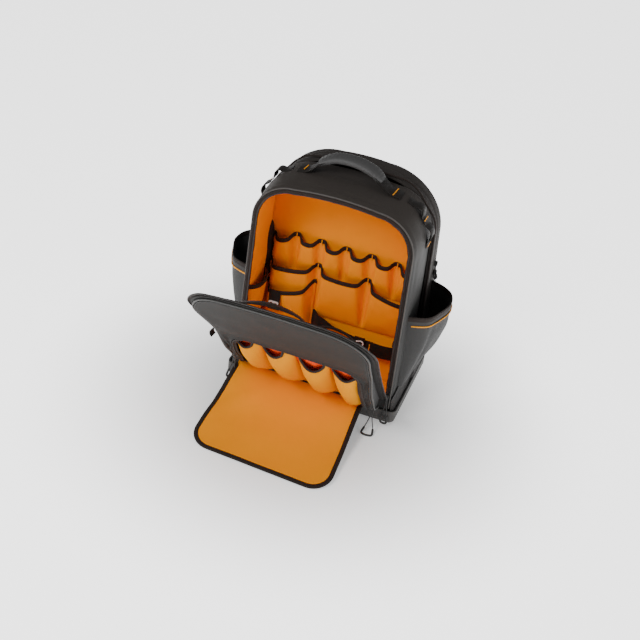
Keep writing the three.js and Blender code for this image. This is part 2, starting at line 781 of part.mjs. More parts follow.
const flangeInner = liningWall + clearance * 3;
const flangeOuter = flangeInner + doorFlangeWall;
function doorPanels() {
  const loop = (form, inset, n) => archPoints(form, inset, true)
    .map(({ x, y: u }) => doorPoint(x, u, n));
  const liningSolid = loftSolid([loop(doorForm, 6, 0), loop(doorForm, 6, liningWall)]);
  addMesh('door_lining', liningSolid, colours.lining);
  const flangeSolid = loftSolid([
    loop(doorForm, 0, flangeInner), loop(doorForm, 0, flangeOuter)]);
  addMesh('door_flange', flangeSolid, colours.shell);

  const rim = (inset, share) => archPoints(doorForm, inset, true).map(({ x, y: u }) => {
    const low = flangeOuter + clearance;
    return doorPoint(x, u, mix(low, pocketDepth(u), share));
  });
  const shares = [0, 0.5, 1];
  const gusset = wallSolid(
    shares.map((share) => rim(doorFlangeWidth, share)),
    shares.map((share) => rim(doorFlangeWidth + gussetWall, share)), true);
  addMesh('door_gusset', gusset, colours.shell);

  const seam = archPoints(doorForm, doorFlangeWidth - pipingRadius - 1)
    .map(({ x, y: u }) => doorPoint(x, u, pocketDepth(u) - pipingRadius - 0.4));
  addMesh('door_edge_piping', sweep(seam, roundSection(pipingRadius, 4), point(0, 1, 0)),
    colours.greyPiping);
}

function doorFront() {
  const outerInset = doorFlangeWidth + gussetWall + clearance;
  const outerArch = archPoints(doorForm, outerInset);
  const mouthArch = archPoints(mouthForm, -clearance);
  const layer = (drop) => [0, 0.5, 1].map((share) => outerArch.map((each, index) => {
    const x = mix(each.x, mouthArch[index].x, share);
    const u = mix(each.y, mouthArch[index].y, share);
    return doorPoint(x, u, pocketDepth(u) - drop);
  }));
  addMesh('door_front_panel', wallSolid(layer(0), layer(frontPanelWall)), colours.shell);

  const tapeLayer = (drop) => [0, mouthTapeWidth].map((inset) => archPoints(mouthForm, inset)
    .map(({ x, y: u }) => doorPoint(x, u, pocketDepth(u) - drop)));
  addMesh('pocket_zip_tape', wallSolid(tapeLayer(0.4), tapeLayer(frontPanelWall)),
    colours.binding);
}

// Pouches on the door's front, inside the front pocket.
// Columns: name, left edge and right edge as shares of the mouth's half width, scoop depth
const pouchTable = [
  ['pouch_a', -0.99, -0.53, 26],
  ['pouch_b', -0.49, 0.0, 26],
  ['pouch_c', 0.05, 0.51, 30],
  ['pouch_d', 0.55, 0.99, 26],
];
const pouchFoot = 18;
const pouchMouth = 178;
const pouchBulge = 30;
const pouchHalf = mouthHalf - 7;
const backingWall = 1.2;
const backingN = flangeOuter + clearance;
const doorUp = doorPoint(0, 1, 0).sub(doorPoint(0, 0, 0)).normalize();
function frontPouches() {
  const half = doorHalfBottom - doorFlangeWidth - gussetWall - clearance * 2;
  const low = doorFlangeWidth + gussetWall + 4;
  const surface = (u, v) => doorPoint(mix(half, -half, u), mix(low, mouthHeight + 20, v),
    backingN + backingWall);
  addMesh('pocket_backing', sheet(6, 4, surface, backingWall), colours.lining);

  const redN = backingN + backingWall + clearance;
  const redSurface = (u, v) => doorPoint(mix(pouchHalf, -pouchHalf, u),
    mix(pouchMouth - 56, pouchMouth + 30, v), redN + backingWall);
  addMesh('pouch_lining', sheet(6, 2, redSurface, backingWall), colours.red);

  const seat = redN + backingWall + clearance + clothWall;
  for (const [name, left, right, scoop] of pouchTable) {
    const face = (u, v) => {
      const x = mix(right, left, u) * pouchHalf;
      const top = pouchMouth - scoop * Math.sin(Math.PI * u) ** 0.8;
      const round = Math.sin(Math.PI * u) ** 0.5;
      const rise = Math.sin(Math.PI * Math.min(0.16 + v * 0.62, 1));
      return doorPoint(x, mix(pouchFoot, top, v), seat + pouchBulge * round * rise);
    };
    addCloth(name, 8, 5, face, clothWall, doorUp, colours.lining);
  }
}

// Webbing loop arching off the door's inner face, a slack inner pocket and a side tab
function doorTrims() {
  const arch = [[-124, 2], [-108, 11], [-84, 30], [-32, 42], [18, 35], [42, 18], [54, 2.6]];
  const path = smoothPath(arch.map(([x, off]) => doorPoint(x, doorLoopU, -off)), 18);
  const guide = doorPoint(0, 300, -1).sub(doorPoint(0, 300, 0));
  addMesh('door_inner_loop', sweep(path, bandSection(loopWebbingWidth, webbingWall), guide),
    colours.webbing);

  const pocket = (u, v) => {
    const x = mix(70, 148, u);
    const along = mix(200, 372 - 30 * u, v);
    const swell = Math.sin(Math.PI * u) ** 0.6 * Math.sin((Math.PI / 2) * v);
    return doorPoint(x, along, -clearance * 2 - clothWall - 24 * swell);
  };
  addMesh('door_inner_pocket', sheet(8, 4, pocket, clothWall, doorUp), colours.lining);

  const tabX = -halfAt(doorForm, doorTabU) - doorTabGap;
  const tab = [0, 0.5, 1].map((share) => doorPoint(tabX, doorTabU, 0)
    .add(point(-14 * Math.sin(share * 2.4), -3 * share, -22 * share)));
  addMesh('door_side_tab', sweep(tab, bandSection(loopWebbingWidth * 0.8, webbingWall),
    point(-1, 0, 0)), colours.webbing);
}

// The open flap lies from its hinge down to the floor; w runs from hinge to far edge
const flapSeamU = doorFlangeWidth - clearance * 2 - flapWall * 0.5;
function flapPoint(x, w, rise) {
  const share = w / flapLength;
  const lift = Math.max(1 - share, 0) ** 1.5;
  const hingeX = x + flapDriftHinge;
  const seam = doorPoint(hingeX, flapSeamU, pocketDepth(flapSeamU) - 1.6);
  return point(
    mix(hingeX, x + flapDriftEnd, share),
    mix(seam.y - clearance, flapFarY - flapSkew * x, share),
    mix(flapWall / 2, seam.z - clearance * 4, lift) + rise,
  );
}

function flap() {
  const form = {
    halfBottom: flapHalfHinge,
    halfTop: flapHalfEnd,
    height: flapLength,
    foot: 0,
    topRadius: flapCornerRadius,
    bottomRadius: 2,
    crown: 0,
  };
  const half = flapWall / 2;
  const edge = (inset, rise) => archPoints(form, inset).map(({ x, y: w }) => flapPoint(x, w, rise));
  const binding = wallSolid(
    [edge(0, half), edge(flapBindingWidth, half)], [edge(0, -half), edge(flapBindingWidth, -half)]);
  addMesh('flap_binding', binding, colours.binding);

  const inset = flapBindingWidth + clearance * 6;
  const round = flapCornerRadius - inset;
  const straight = flapLength - flapCornerRadius;
  const surface = (rise) => (u, v) => {
    const turn = Math.max(v * 2 - 1, 0) * (Math.PI / 2);
    const w = v < 0.5 ? mix(2, straight, v * 2) : straight + round * Math.sin(turn);
    const side = mix(flapHalfHinge, flapHalfEnd, Math.min(v * 2, 1)) - flapCornerRadius;
    return flapPoint((1 - 2 * u) * (side + round * Math.cos(turn)), w, rise);
  };
  const layer = half - 0.8;
  addMesh('flap_lining', sheet(6, 8, surface(layer), layer - clearance / 2), colours.lining);
  addMesh('flap_outer', sheet(6, 8, surface(-clearance / 2), layer - clearance / 2),
    colours.shell);
}

// Top of the swollen body over x, halfway along its depth
function bodyTopAt(x) {
  const flat = bodyHalfTop - bodyTopRadius;
  const over = Math.max(Math.abs(x) - flat, 0);
  const round = bodyTopRadius - Math.sqrt(Math.max(bodyTopRadius ** 2 - over ** 2, 0));
  const crown = bodyCrown * Math.max(1 - (x / flat) ** 2, 0);
  return bodyHeight + bodyBulge + crown - round;
}

// Top carrying handle: webbing stitched to the top, with a padded grip.
// Columns: X as a share of the handle's half length, height over the body's top
const handleRows = [[-1, 0.1], [-0.82, 1], [-0.7, 9], [-0.56, 22], [-0.28, 34], [0.08, 35],
  [0.42, 27], [0.64, 12], [0.8, 1.6], [1, 0.1]];
const handleHalf = 104;
const gripHalf = 60;
function topHandle() {
  const path = smoothPath(handleRows.map(([share, rise]) => {
    const x = share * handleHalf;
    return point(x, handleY, bodyTopAt(x) + rise);
  }), 21);
  addMesh('handle_webbing', sweep(path, bandSection(handleWebbingWidth, webbingWall),
    point(0, 0, 1)), colours.webbing);

  const grip = path.filter(({ x }) => Math.abs(x) < gripHalf);
  const section = (gap, bevel) => {
    const side = handleWebbingWidth / 2 + gap;
    const [low, high] = [-gap, webbingWall + gap];
    return [[-side, low + bevel], [bevel * 2 - side, low], [side - bevel * 2, low],
      [side, low + bevel], [side, high - bevel], [side - bevel * 2, high],
      [bevel * 2 - side, high], [-side, high - bevel]];
  };
  const frames = (pairs) => grip.map((centre, index) => {
    const before = grip[Math.max(index - 1, 0)];
    const after = grip[Math.min(index + 1, grip.length - 1)];
    const along = after.clone().sub(before).normalize();
    const side = along.clone().cross(point(0, 0, 1)).normalize();
    const up = side.clone().cross(along).normalize();
    return pairs.map(([across, rise]) => centre.clone()
      .addScaledVector(side, across).addScaledVector(up, rise));
  });
  addMesh('handle_grip', wallSolid(frames(section(gripWall, 1.6)),
    frames(section(clearance * 2, 0.1)), true), colours.grip, 0.7);
}

// Webbing loops over both shoulders. Columns: angle round the shoulder in degrees from
// straight up, stand-off from the body
const loopRows = [[24, 0.4], [34, 1], [40, 8], [46, 8], [52, 1], [58, 0.6], [64, 1], [72, 8],
  [80, 8], [88, 1], [96, 0.4]];
function sideLoops(side, name) {
  const centreX = bodyHalfTop - bodyTopRadius;
  const centreZ = bodyHeight - bodyTopRadius;
  const path = loopRows.map(([angle, off]) => {
    const turn = THREE.MathUtils.degToRad(Math.min(angle, 90));
    const reach = bodyTopRadius + bodyBulge + off - 0.4;
    const below = Math.max(angle - 90, 0) * 1.5;
    return point(side * (centreX + reach * Math.sin(turn)), loopY,
      centreZ + reach * Math.cos(turn) - below);
  });
  const smooth = smoothPath(path, 22);
  const outward = (index, centre) => point(centre.x - side * centreX, 0, centre.z - centreZ);
  addMesh(name, sweep(smooth, bandSection(loopWebbingWidth, webbingWall), outward),
    colours.webbing);
}

// Shoulder straps: padded at the top, webbing below the buckle.
// Columns: height, X from the middle, stand-off from the back, width share, thickness
const strapRows = [
  [0.93, 58, -1.2, 0.9, 11],
  [0.86, 60, 22, 1, 12],
  [0.72, 66, 42, 1, 12],
  [0.56, 80, 44, 0.96, 11],
  [0.44, 96, 34, 0.8, 8],
  [0.42, 99, 31, 0.38, 2],
  [0.28, 118, 16, 0.38, 2],
  [0.13, 132, 0, 0.38, 2],
];
function shoulderStrap(side, label) {
  const centres = strapRows.map(([high, x, off]) => point(side * x,
    rearY(high * rearHeight, -backPanelPuff - clearance - off), high * rearHeight));
  const rings = centres.map((centre, index) => {
    const [, , , share, thick] = strapRows[index];
    const before = centres[Math.max(index - 1, 0)];
    const after = centres[Math.min(index + 1, centres.length - 1)];
    const along = after.clone().sub(before).normalize();
    const across = along.clone().cross(point(0, 1, 0)).normalize();
    const out = across.clone().cross(along).normalize();
    const half = (strapWidth * share) / 2;
    return [[-half, 0], [half, 0], [half, thick], [-half, thick]].map(([over, rise]) => centre
      .clone().addScaledVector(across, over).addScaledVector(out, rise));
  });
  addMesh(`shoulder_strap_${label}`, loftSolid(rings), colours.rear);

  const seat = centres[5].clone().lerp(centres[6], 0.12);
  const along = centres[6].clone().sub(centres[5]).normalize();
  const across = along.clone().cross(point(0, 1, 0)).normalize();
  const out = across.clone().cross(along).normalize();
  const frame = new THREE.Shape();
  const [halfWide, halfHigh] = [strapWidth * 0.19 + 4, 11];
  frame.moveTo(-halfWide, -halfHigh);
  frame.lineTo(halfWide, -halfHigh);
  frame.lineTo(halfWide, halfHigh);
  frame.lineTo(-halfWide, halfHigh);
  frame.lineTo(-halfWide, -halfHigh);
  for (const middle of [-halfHigh / 2, halfHigh / 2]) {
    const slot = new THREE.Path();
    const [slotHalf, slotHigh] = [halfWide - 3, 2.4];
    slot.moveTo(-slotHalf, middle - slotHigh);
    slot.lineTo(-slotHalf, middle + slotHigh);
    slot.lineTo(slotHalf, middle + slotHigh);
    slot.lineTo(slotHalf, middle - slotHigh);
    slot.lineTo(-slotHalf, middle - slotHigh);
    frame.holes.push(slot);
  }
  const buckle = new THREE.ExtrudeGeometry(frame, { depth: 3.6, bevelEnabled: false });
  const turn = new THREE.Matrix4().makeBasis(across, along, across.clone().cross(along));
  buckle.applyMatrix4(turn);
  const facing = across.clone().cross(along).dot(out) > 0 ? 1 : -1;
  const lift = strapRows[5][4] + clearance * 2 + 1.6 + (facing > 0 ? 0 : 3.6);
  const origin = seat.clone().addScaledVector(out, lift);
  buckle.translate(origin.x, origin.y, origin.z);
  addMesh(`strap_buckle_${label}`, buckle, colours.webbing, 0.5);
}

// Zip pulls: a cord loop hanging from each slider.
// Columns: name, anchor point, loop length, loop width, drift of its low end in X and Y
const pullTable = [
  ['pocket_pull_right', () => doorPoint(mouthHalf + 3, 18, pocketDepth(18) + pullCordRadius + clearance), 38, 15, 2, -8],
  ['pocket_pull_left', () => doorPoint(-doorHalfBottom - 4, 60, flangeOuter + pullCordRadius + clearance), 36, 12, -4, -6],
  ['main_pull_right', () => point(doorHalfBottom + 3, bodyY(0, 66) - pullCordRadius + 0.1, 66), 44, 12, 6, -7],
];
function zipPulls() {
  for (const [name, anchorAt, length, width, driftX, driftY] of pullTable) {
    const anchor = anchorAt();
    const floor = pullCordRadius + clearance;
    const rows = [[0, 0.4], [0.3, 0.5], [0.75, 0.95], [1, 0.5], [1, -0.5], [0.75, -0.95],
      [0.3, -0.5], [0, -0.4]];
    const points = rows.map(([share, across]) => point(
      anchor.x + driftX * share + (width / 2) * across,
      anchor.y + driftY * share,
      Math.max(anchor.z - length * share, floor)));
    const path = smoothPath(points, 18, true);
    addMesh(name, sweep(path, roundSection(pullCordRadius, 4), point(0, 1, 0.2), true),
      colours.webbing, 0.6);
  }
}

outerShell();
mainLining();
rearWall();
openingEdge();
frontSill();
rearSection();
baseBoot();
sideGuard(-1, 'side_guard_left');
sideGuard(1, 'side_guard_right');
sidePocket(1, 'right', 1, 0);
sidePocket(-1, 'left', 1.2, 10);
pocketRow('upper');
pocketRow('middle');
pocketRow('lower');
plateTab();
tapeBand();
wallPocket('left');
wallPocket('right');
doorPanels();
doorFront();
frontPouches();
doorTrims();
flap();
topHandle();
sideLoops(-1, 'side_loops_left');
sideLoops(1, 'side_loops_right');
shoulderStrap(-1, 'left');
shoulderStrap(1, 'right');
zipPulls();

export default pack;
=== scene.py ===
import bmesh
import bpy
import math
from mathutils import Matrix, Vector, noise


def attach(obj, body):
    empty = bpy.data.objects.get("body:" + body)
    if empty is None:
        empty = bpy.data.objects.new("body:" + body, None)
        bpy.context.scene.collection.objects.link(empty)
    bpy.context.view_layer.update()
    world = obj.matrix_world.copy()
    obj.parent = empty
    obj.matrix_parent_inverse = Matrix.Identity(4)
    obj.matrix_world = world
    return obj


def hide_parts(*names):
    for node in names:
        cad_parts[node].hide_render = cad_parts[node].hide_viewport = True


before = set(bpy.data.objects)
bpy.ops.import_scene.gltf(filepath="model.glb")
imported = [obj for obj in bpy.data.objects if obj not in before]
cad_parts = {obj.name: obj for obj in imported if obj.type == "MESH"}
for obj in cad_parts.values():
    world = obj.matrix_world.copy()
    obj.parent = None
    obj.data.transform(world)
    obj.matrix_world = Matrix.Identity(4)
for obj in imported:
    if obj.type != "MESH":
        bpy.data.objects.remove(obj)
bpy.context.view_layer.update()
mm = 0.001
bpy.ops.object.select_all(action="DESELECT")
print("stage: frame loaded,", len(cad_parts), "nodes")


# small sums
def mix(a, b, share):
    return a + (b - a) * share


def clamp(value, low=0.0, high=1.0):
    return max(low, min(high, value))


def fromTable(rows, share, column=1):  # eased value between the rows of a table
    last = len(rows) - 1
    index = 0
    while index < last - 1 and share > rows[index + 1][0]:
        index += 1
    start, end = rows[index], rows[index + 1]
    local = clamp((share - start[0]) / (end[0] - start[0]))
    return mix(start[column], end[column], local * local * (3 - 2 * local))


def curveTable(rows, share, column):  # a smooth curve through the rows
    last = len(rows) - 2
    index = max(i for i in range(last + 1) if share >= rows[i][0] or i == 0)
    start, end = rows[index], rows[index + 1]
    span = end[0] - start[0]
    before, after = rows[max(index - 1, 0)], rows[min(index + 2, last + 1)]
    slopeA = (end[column] - before[column]) / max(end[0] - before[0], 1e-6) * span
    slopeB = (after[column] - start[column]) / max(after[0] - start[0], 1e-6) * span
    t = clamp((share - start[0]) / span)
    return ((2 * t ** 3 - 3 * t ** 2 + 1) * start[column] + (t ** 3 - 2 * t ** 2 + t) * slopeA
            + (3 * t ** 2 - 2 * t ** 3) * end[column] + (t ** 3 - t ** 2) * slopeB)


def rough(point, size, seed=0.0):  # soft noise from -1 to 1, `size` in mm
    return noise.noise(Vector(point) / size + Vector((seed, seed * 1.7, seed * 0.6)))


def spaced(count):
    return [index / count for index in range(count + 1)]


# materials: one small class for shader sums
class Wire:
    def __init__(self, tree, socket=None):
        self.tree, self.socket = tree, socket

    def node(self, kind, settings=None, values=None, out=0):
        made = self.tree.nodes.new(kind)
        for key, value in (settings or {}).items():
            if key == "stops":
                ramp = made.color_ramp.elements
                while len(ramp) < len(value):
                    ramp.new(0.5)
                for element, (place, colour) in zip(ramp, value):
                    element.position, element.color = place, (*colour, 1)
            else:
                setattr(made, key, value)
        for key, value in (values or {}).items():
            if isinstance(value, Wire):
                self.tree.links.new(value.socket, made.inputs[key])
            else:
                made.inputs[key].default_value = value
        return Wire(self.tree, made.outputs[out])

    def sum(self, operation, other=None):
        values = [self] if other is None else [self, other]
        return self.node("ShaderNodeMath", {"operation": operation}, dict(enumerate(values)))

    def __add__(self, other):
        return self.sum("ADD", other)

    def __mul__(self, other):
        return self.sum("MULTIPLY", other)

    __radd__, __rmul__ = __add__, __mul__


# finishes: colour and roughness; weave pitch and depth in mm, mottling, sheen and gloss where
# they differ from the plain cloth's, and for the shell a painted top light
finishes = {
    # the shell's top gets a painted light: a lighter, warmer tone than its sides
    "shellCloth": {"colour": (0.023, 0.0225, 0.0215), "rough": 0.66,
                   "topPaintedLight": (0.036, 0.030, 0.026)},
    "sideCloth": {"colour": (0.031, 0.0305, 0.030), "rough": 0.62, "sheen": 0.03},
    "doorCloth": {"colour": (0.0095, 0.0085, 0.0075), "rough": 0.66, "sheen": 0.03},
    "rearCloth": {"colour": (0.026, 0.022, 0.020), "rough": 0.74, "pitch": 1.4, "depth": 0.2,
                  "mottle": 0.2},
    "guardCloth": {"colour": (0.028, 0.026, 0.025), "rough": 0.7, "pitch": 1.8, "depth": 0.3,
                   "mottle": 0.22},
    "orangeLining": {"colour": (0.98, 0.325, 0.0), "rough": 0.7, "pitch": 0.8, "depth": 0.08,
                     "mottle": 0.05, "sheen": 0.0, "gloss": 0.06},
    "pouchCloth": {"colour": (0.72, 0.265, 0.0), "rough": 0.7, "pitch": 0.8, "depth": 0.08,
                   "mottle": 0.05, "sheen": 0.0, "gloss": 0.05},
    "redCloth": {"colour": (0.86, 0.065, 0.006), "rough": 0.6, "pitch": 0.8, "depth": 0.08,
                 "sheen": 0.0, "gloss": 0.1},
    "darkBinding": {"colour": (0.018, 0.012, 0.010), "rough": 0.72, "pitch": 1.6, "depth": 0.25,
                    "mottle": 0.25, "sheen": 0.03},
    "edgePiping": {"colour": (0.075, 0.070, 0.066), "rough": 0.55, "pitch": 1.2, "depth": 0.15,
                   "mottle": 0.12},
    "webbing": {"colour": (0.010, 0.008, 0.007), "rough": 0.6, "pitch": 2.2, "depth": 0.45,
                "mottle": 0.2, "sheen": 0.03},
    "orangePiping": {"colour": (0.95, 0.36, 0.02), "rough": 0.55, "pitch": 1.0, "depth": 0.12,
                     "mottle": 0.1, "sheen": 0.0, "gloss": 0.1},
    "greyPiping": {"colour": (0.055, 0.054, 0.052), "rough": 0.5, "pitch": 1.2, "depth": 0.15,
                   "mottle": 0.12},
}
madeMaterials = {}


def newTree(name):
    material = bpy.data.materials.new(name)
    material.use_nodes = True
    tree = material.node_tree
    madeMaterials[name] = material
    return Wire(tree), tree.nodes["Principled BSDF"]


def clothMaterial(name, colour, rough, pitch=1.1, depth=0.16, mottle=0.14, sheen=0.02,
                  gloss=0.22, topPaintedLight=None):
    wire, shader = newTree(name)
    flat = wire.node("ShaderNodeUVMap", {"uv_map": "flat"})
    place = wire.node("ShaderNodeTexCoord", out=3)
    across = wire.node("ShaderNodeSeparateXYZ", values={0: flat}, out=0)
    along = wire.node("ShaderNodeSeparateXYZ", values={0: flat}, out=1)
    turns = 2 * math.pi / (pitch * mm)
    warp = (across * turns).sum("SINE")
    weft = (along * turns).sum("SINE")
    threads = warp * weft * 0.5 + 0.5
    clouds = wire.node("ShaderNodeTexNoise", values={
        "Vector": place, "Scale": 14.0, "Detail": 4.0, "Roughness": 0.6})
    specks = wire.node("ShaderNodeTexNoise", values={
        "Vector": place, "Scale": 260.0, "Detail": 2.0, "Roughness": 0.7})
    shade = clouds * mottle + specks * (mottle * 0.6) + threads * (mottle * 0.5)
    dark = tuple(part * (1 - mottle) for part in colour)
    light = tuple(min(part * (1 + mottle * 1.1), 1) for part in colour)
    share = (shade * (1 / (mottle * 1.6))).sum("MINIMUM", 1.0)
    tint = wire.node("ShaderNodeMix", {"data_type": "RGBA"}, {
        0: share, 6: (*dark, 1), 7: (*light, 1)}, out=2)
    if topPaintedLight:  # painted light: the top of the pack is painted a lighter, warmer tone than its sides, for how light falls on it
        height = wire.node("ShaderNodeSeparateXYZ", values={0: place}, out=2)
        share = wire.node("ShaderNodeMapRange", values={0: height, 1: 0.36, 2: 0.455})
        tint = wire.node("ShaderNodeMix", {"data_type": "RGBA"}, {
            0: share, 6: tint, 7: (*topPaintedLight, 1)}, out=2)
    link = wire.tree.links.new
    link(tint.socket, shader.inputs["Base Color"])
    link((clouds * 0.22 + (rough - 0.11)).socket, shader.inputs["Roughness"])
    relief = threads + specks * 0.6
    bump = wire.node("ShaderNodeBump", values={
        "Height": relief, "Distance": depth * mm, "Strength": 0.55})
    link(bump.socket, shader.inputs["Normal"])
    shader.inputs["Sheen Weight"].default_value = sheen
    shader.inputs["Sheen Roughness"].default_value = 0.5
    shader.inputs["Specular IOR Level"].default_value = gloss


def mouldedMaterial(name, colour, rough, grain, bump, metallic=0.0):
    wire, shader = newTree(name)
    place = wire.node("ShaderNodeTexCoord", out=3)
    clouds = wire.node("ShaderNodeTexNoise", values={
        "Vector": place, "Scale": 22.0, "Detail": 5.0, "Roughness": 0.6})
    fine = wire.node("ShaderNodeTexVoronoi", values={"Vector": place, "Scale": grain})
    dark, light = tuple(c * 0.82 for c in colour), tuple(min(c * 1.2, 1) for c in colour)
    tint = wire.node("ShaderNodeMix", {"data_type": "RGBA"}, {
        0: clouds, 6: (*dark, 1), 7: (*light, 1)}, out=2)
    link = wire.tree.links.new
    link(tint.socket, shader.inputs["Base Color"])
    link((clouds * 0.25 + (rough - 0.12)).socket, shader.inputs["Roughness"])
    relief = wire.node("ShaderNodeBump", values={
        "Height": fine + clouds * 0.5, "Distance": bump * mm, "Strength": 0.5})
    link(relief.socket, shader.inputs["Normal"])
    shader.inputs["Metallic"].default_value = metallic


for finishName, look in finishes.items():
    clothMaterial(finishName, **look)
mouldedMaterial("baseRubber", (0.068, 0.065, 0.062), 0.62, 900, 0.12)
mouldedMaterial("gripRubber", (0.050, 0.049, 0.049), 0.6, 700, 0.12)
mouldedMaterial("bucklePlastic", (0.016, 0.016, 0.016), 0.45, 1200, 0.05)
mouldedMaterial("pullCord", (0.03, 0.028, 0.027), 0.5, 1500, 0.08)
mouldedMaterial("plainMetal", (0.72, 0.73, 0.74), 0.4, 1600, 0.03, 0.25)
print("stage: finishes made")


# pieces from rows of points, in mm
def dress(piece, finish, replaces=()):
    piece.data.materials.append(madeMaterials[finish])
    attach(piece, "root")
    if replaces:
        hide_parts(*replaces)


def pieceFrom(build, name, finish, replaces=()):
    mesh = bpy.data.meshes.new(name)
    build.to_mesh(mesh)
    build.free()
    piece = bpy.data.objects.new(name, mesh)
    bpy.context.scene.collection.objects.link(piece)
    dress(piece, finish, replaces)
    return piece


def pick(piece):
    bpy.ops.object.select_all(action="DESELECT")
    bpy.context.view_layer.objects.active = piece
    piece.select_set(True)


def applyModifier(piece, kind, **settings):
    modifier = piece.modifiers.new("work", kind)
    for key, value in settings.items():
        setattr(modifier, key, value)
    pick(piece)
    bpy.ops.object.modifier_apply(modifier=modifier.name)


def smooth(piece, angle=42):
    pick(piece)
    bpy.ops.object.shade_smooth_by_angle(angle=math.radians(angle))
    piece.select_set(False)


def lengths(line):
    total = [0.0]
    for before, after in zip(line, line[1:]):
        total.append(total[-1] + (Vector(after) - Vector(before)).length)
    return total


def walk(line, targets):  # points at these distances along a line, with its direction there
    run, index, out = lengths(line), 0, []
    for target in targets:
        while index < len(run) - 2 and run[index + 1] < target:
            index += 1
        share = (target - run[index]) / max(run[index + 1] - run[index], 1e-9)
        out.append((line[index].lerp(line[index + 1], clamp(share)),
                    line[index + 1] - line[index]))
    return out


def crossways(line, index, guide, closed=False):  # side and up at one point of a line
    count = len(line)
    before = line[index - 1] if closed or index else line[0]
    after = line[(index + 1) % count] if closed else line[min(index + 1, count - 1)]
    along = (after - before).normalized()
    side = along.cross(guide).normalized()
    return side, side.cross(along).normalized()


def bowed(value, power):
    return math.copysign(abs(value) ** power, value)


def rowsOf(across, up, place):
    return [[place(u, v) for u in spaced(across)] for v in spaced(up)]


def gridPiece(name, rows, finish, replaces=(), wall=1.5, facing=(0, -1, 0), wrap=False,
              held="stretched", fill=None, capped=False):
    build = bmesh.new()
    layer = build.loops.layers.uv.new("flat")
    verts = [[build.verts.new(Vector(p) * mm) for p in row] for row in rows]
    middle = len(rows) // 2
    ring = rows[middle] + ([rows[middle][0]] if wrap else [])
    runU = lengths(ring)
    runV = lengths([row[len(row) // 2] for row in rows])
    count = len(rows[0])
    for i in range(len(rows) - 1):
        for j in range(count if wrap else count - 1):
            k = (j + 1) % count
            face = build.faces.new((verts[i][j], verts[i][k], verts[i + 1][k], verts[i + 1][j]))
            corners = ((j, i), (j + 1, i), (j + 1, i + 1), (j, i + 1))
            for loop, (u, v) in zip(face.loops, corners):
                loop[layer].uv = (runU[u] * mm, runV[v] * mm)
    if capped:
        build.faces.new(list(reversed(verts[0])))
    if capped is True:
        build.faces.new(verts[-1])
    build.normal_update()
    total = 0.0
    for face in build.faces:
        way = facing(face.calc_center_median() / mm) if callable(facing) else Vector(facing)
        total += face.normal.dot(way) * face.calc_area()
    if total < 0:
        bmesh.ops.reverse_faces(build, faces=build.faces[:])
    area = sum(face.calc_area() for face in build.faces)
    piece = pieceFrom(build, name, finish, replaces)
    if wall:
        applyModifier(piece, "SOLIDIFY", thickness=wall * mm, offset=-1.0)
    smooth(piece)
    if fill is not None:
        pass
    elif held:
        long = max(runV[-1] * mm, 0.011)
        area *= 1.0 if wall else 0.5  # a closed tube of cloth has two faces
        max(area / long, 0.011)


def outwardFrom(middle):
    centre = Vector(middle)
    return lambda place: place - centre


def sweepPiece(name, path, section, finish, replaces=(), upward=(0, 0, 1), closed=False):
    path = [Vector(p) for p in path]
    count, around = len(path), len(section)
    rings = []
    for index, centre in enumerate(path):
        guide = Vector(upward(index, centre)) if callable(upward) else Vector(upward)
        side, up = crossways(path, index, guide, closed)
        rings.append([centre + side * a + up * b for a, b in section])
    build = bmesh.new()
    layer = build.loops.layers.uv.new("flat")
    verts = [[build.verts.new(p * mm) for p in ring] for ring in rings]
    run = lengths(path + ([path[0]] if closed else []))
    girth = lengths([Vector((a, b, 0)) for a, b in section + [section[0]]])
    for i in range(count if closed else count - 1):
        n = (i + 1) % count
        for j in range(around):
            k = (j + 1) % around
            face = build.faces.new((verts[i][j], verts[i][k], verts[n][k], verts[n][j]))
            corners = ((j, i), (j + 1, i), (j + 1, i + 1), (j, i + 1))
            for loop, (u, v) in zip(face.loops, corners):
                loop[layer].uv = (girth[u] * mm, run[v] * mm)
    if not closed:
        build.faces.new(list(reversed(verts[0])))
        build.faces.new(verts[-1])
    bmesh.ops.recalc_face_normals(build, faces=build.faces[:])
    smooth(pieceFrom(build, name, finish, replaces), 50)


def hardPiece(name, kind, middle, size, finish, replaces=(), corner=0.0, turn=0):
    bpy.ops.object.select_all(action="DESELECT")
    if kind == "cube":
        bpy.ops.mesh.primitive_cube_add(size=1, location=Vector(middle) * mm)
    else:
        bpy.ops.mesh.primitive_cylinder_add(radius=0.5, depth=1, vertices=40,
                                            location=Vector(middle) * mm)
    piece = bpy.context.active_object
    piece.name = name
    piece.scale = Vector(size) * mm
    piece.rotation_euler = (math.radians(turn), 0, 0)
    bpy.ops.object.transform_apply(location=True, rotation=True, scale=True)
    if corner:  # rounded across its thinnest side
        thin = size.index(min(size))
        modifier = piece.modifiers.new("work", "BEVEL")
        modifier.width, modifier.segments, modifier.limit_method = corner * mm, 5, "WEIGHT"
        weights = piece.data.attributes.new("bevel_weight_edge", "FLOAT", "EDGE")
        for edge in piece.data.edges:
            a, b = (piece.data.vertices[i].co for i in edge.vertices)
            along = (b - a).normalized()
            weights.data[edge.index].value = 1.0 if abs(along[thin]) > 0.9 else 0.0
        bpy.ops.object.modifier_apply(modifier=modifier.name)
    dress(piece, finish, replaces)
    smooth(piece, 35)
    return piece


def roundSection(radius, sides=10):
    turns = [2 * math.pi * i / sides for i in range(sides)]
    return [(radius * math.cos(turn), radius * math.sin(turn)) for turn in turns]


def bandSection(width, wall):  # flat band with rounded edges
    half, bevel = width / 2, wall * 0.35
    return [(-half, bevel), (bevel - half, 0), (half - bevel, 0), (half, bevel),
            (half, wall - bevel), (half - bevel, wall), (bevel - half, wall),
            (-half, wall - bevel)]


def tapeSection(height, wall):  # tape folded over an edge: rounded on top
    half = wall / 2
    return [(-half, -height), (half, -height), (half, -half), (half * 0.7, half * 0.5),
            (0, half * 0.9), (-half * 0.7, half * 0.5), (-half, -half)]


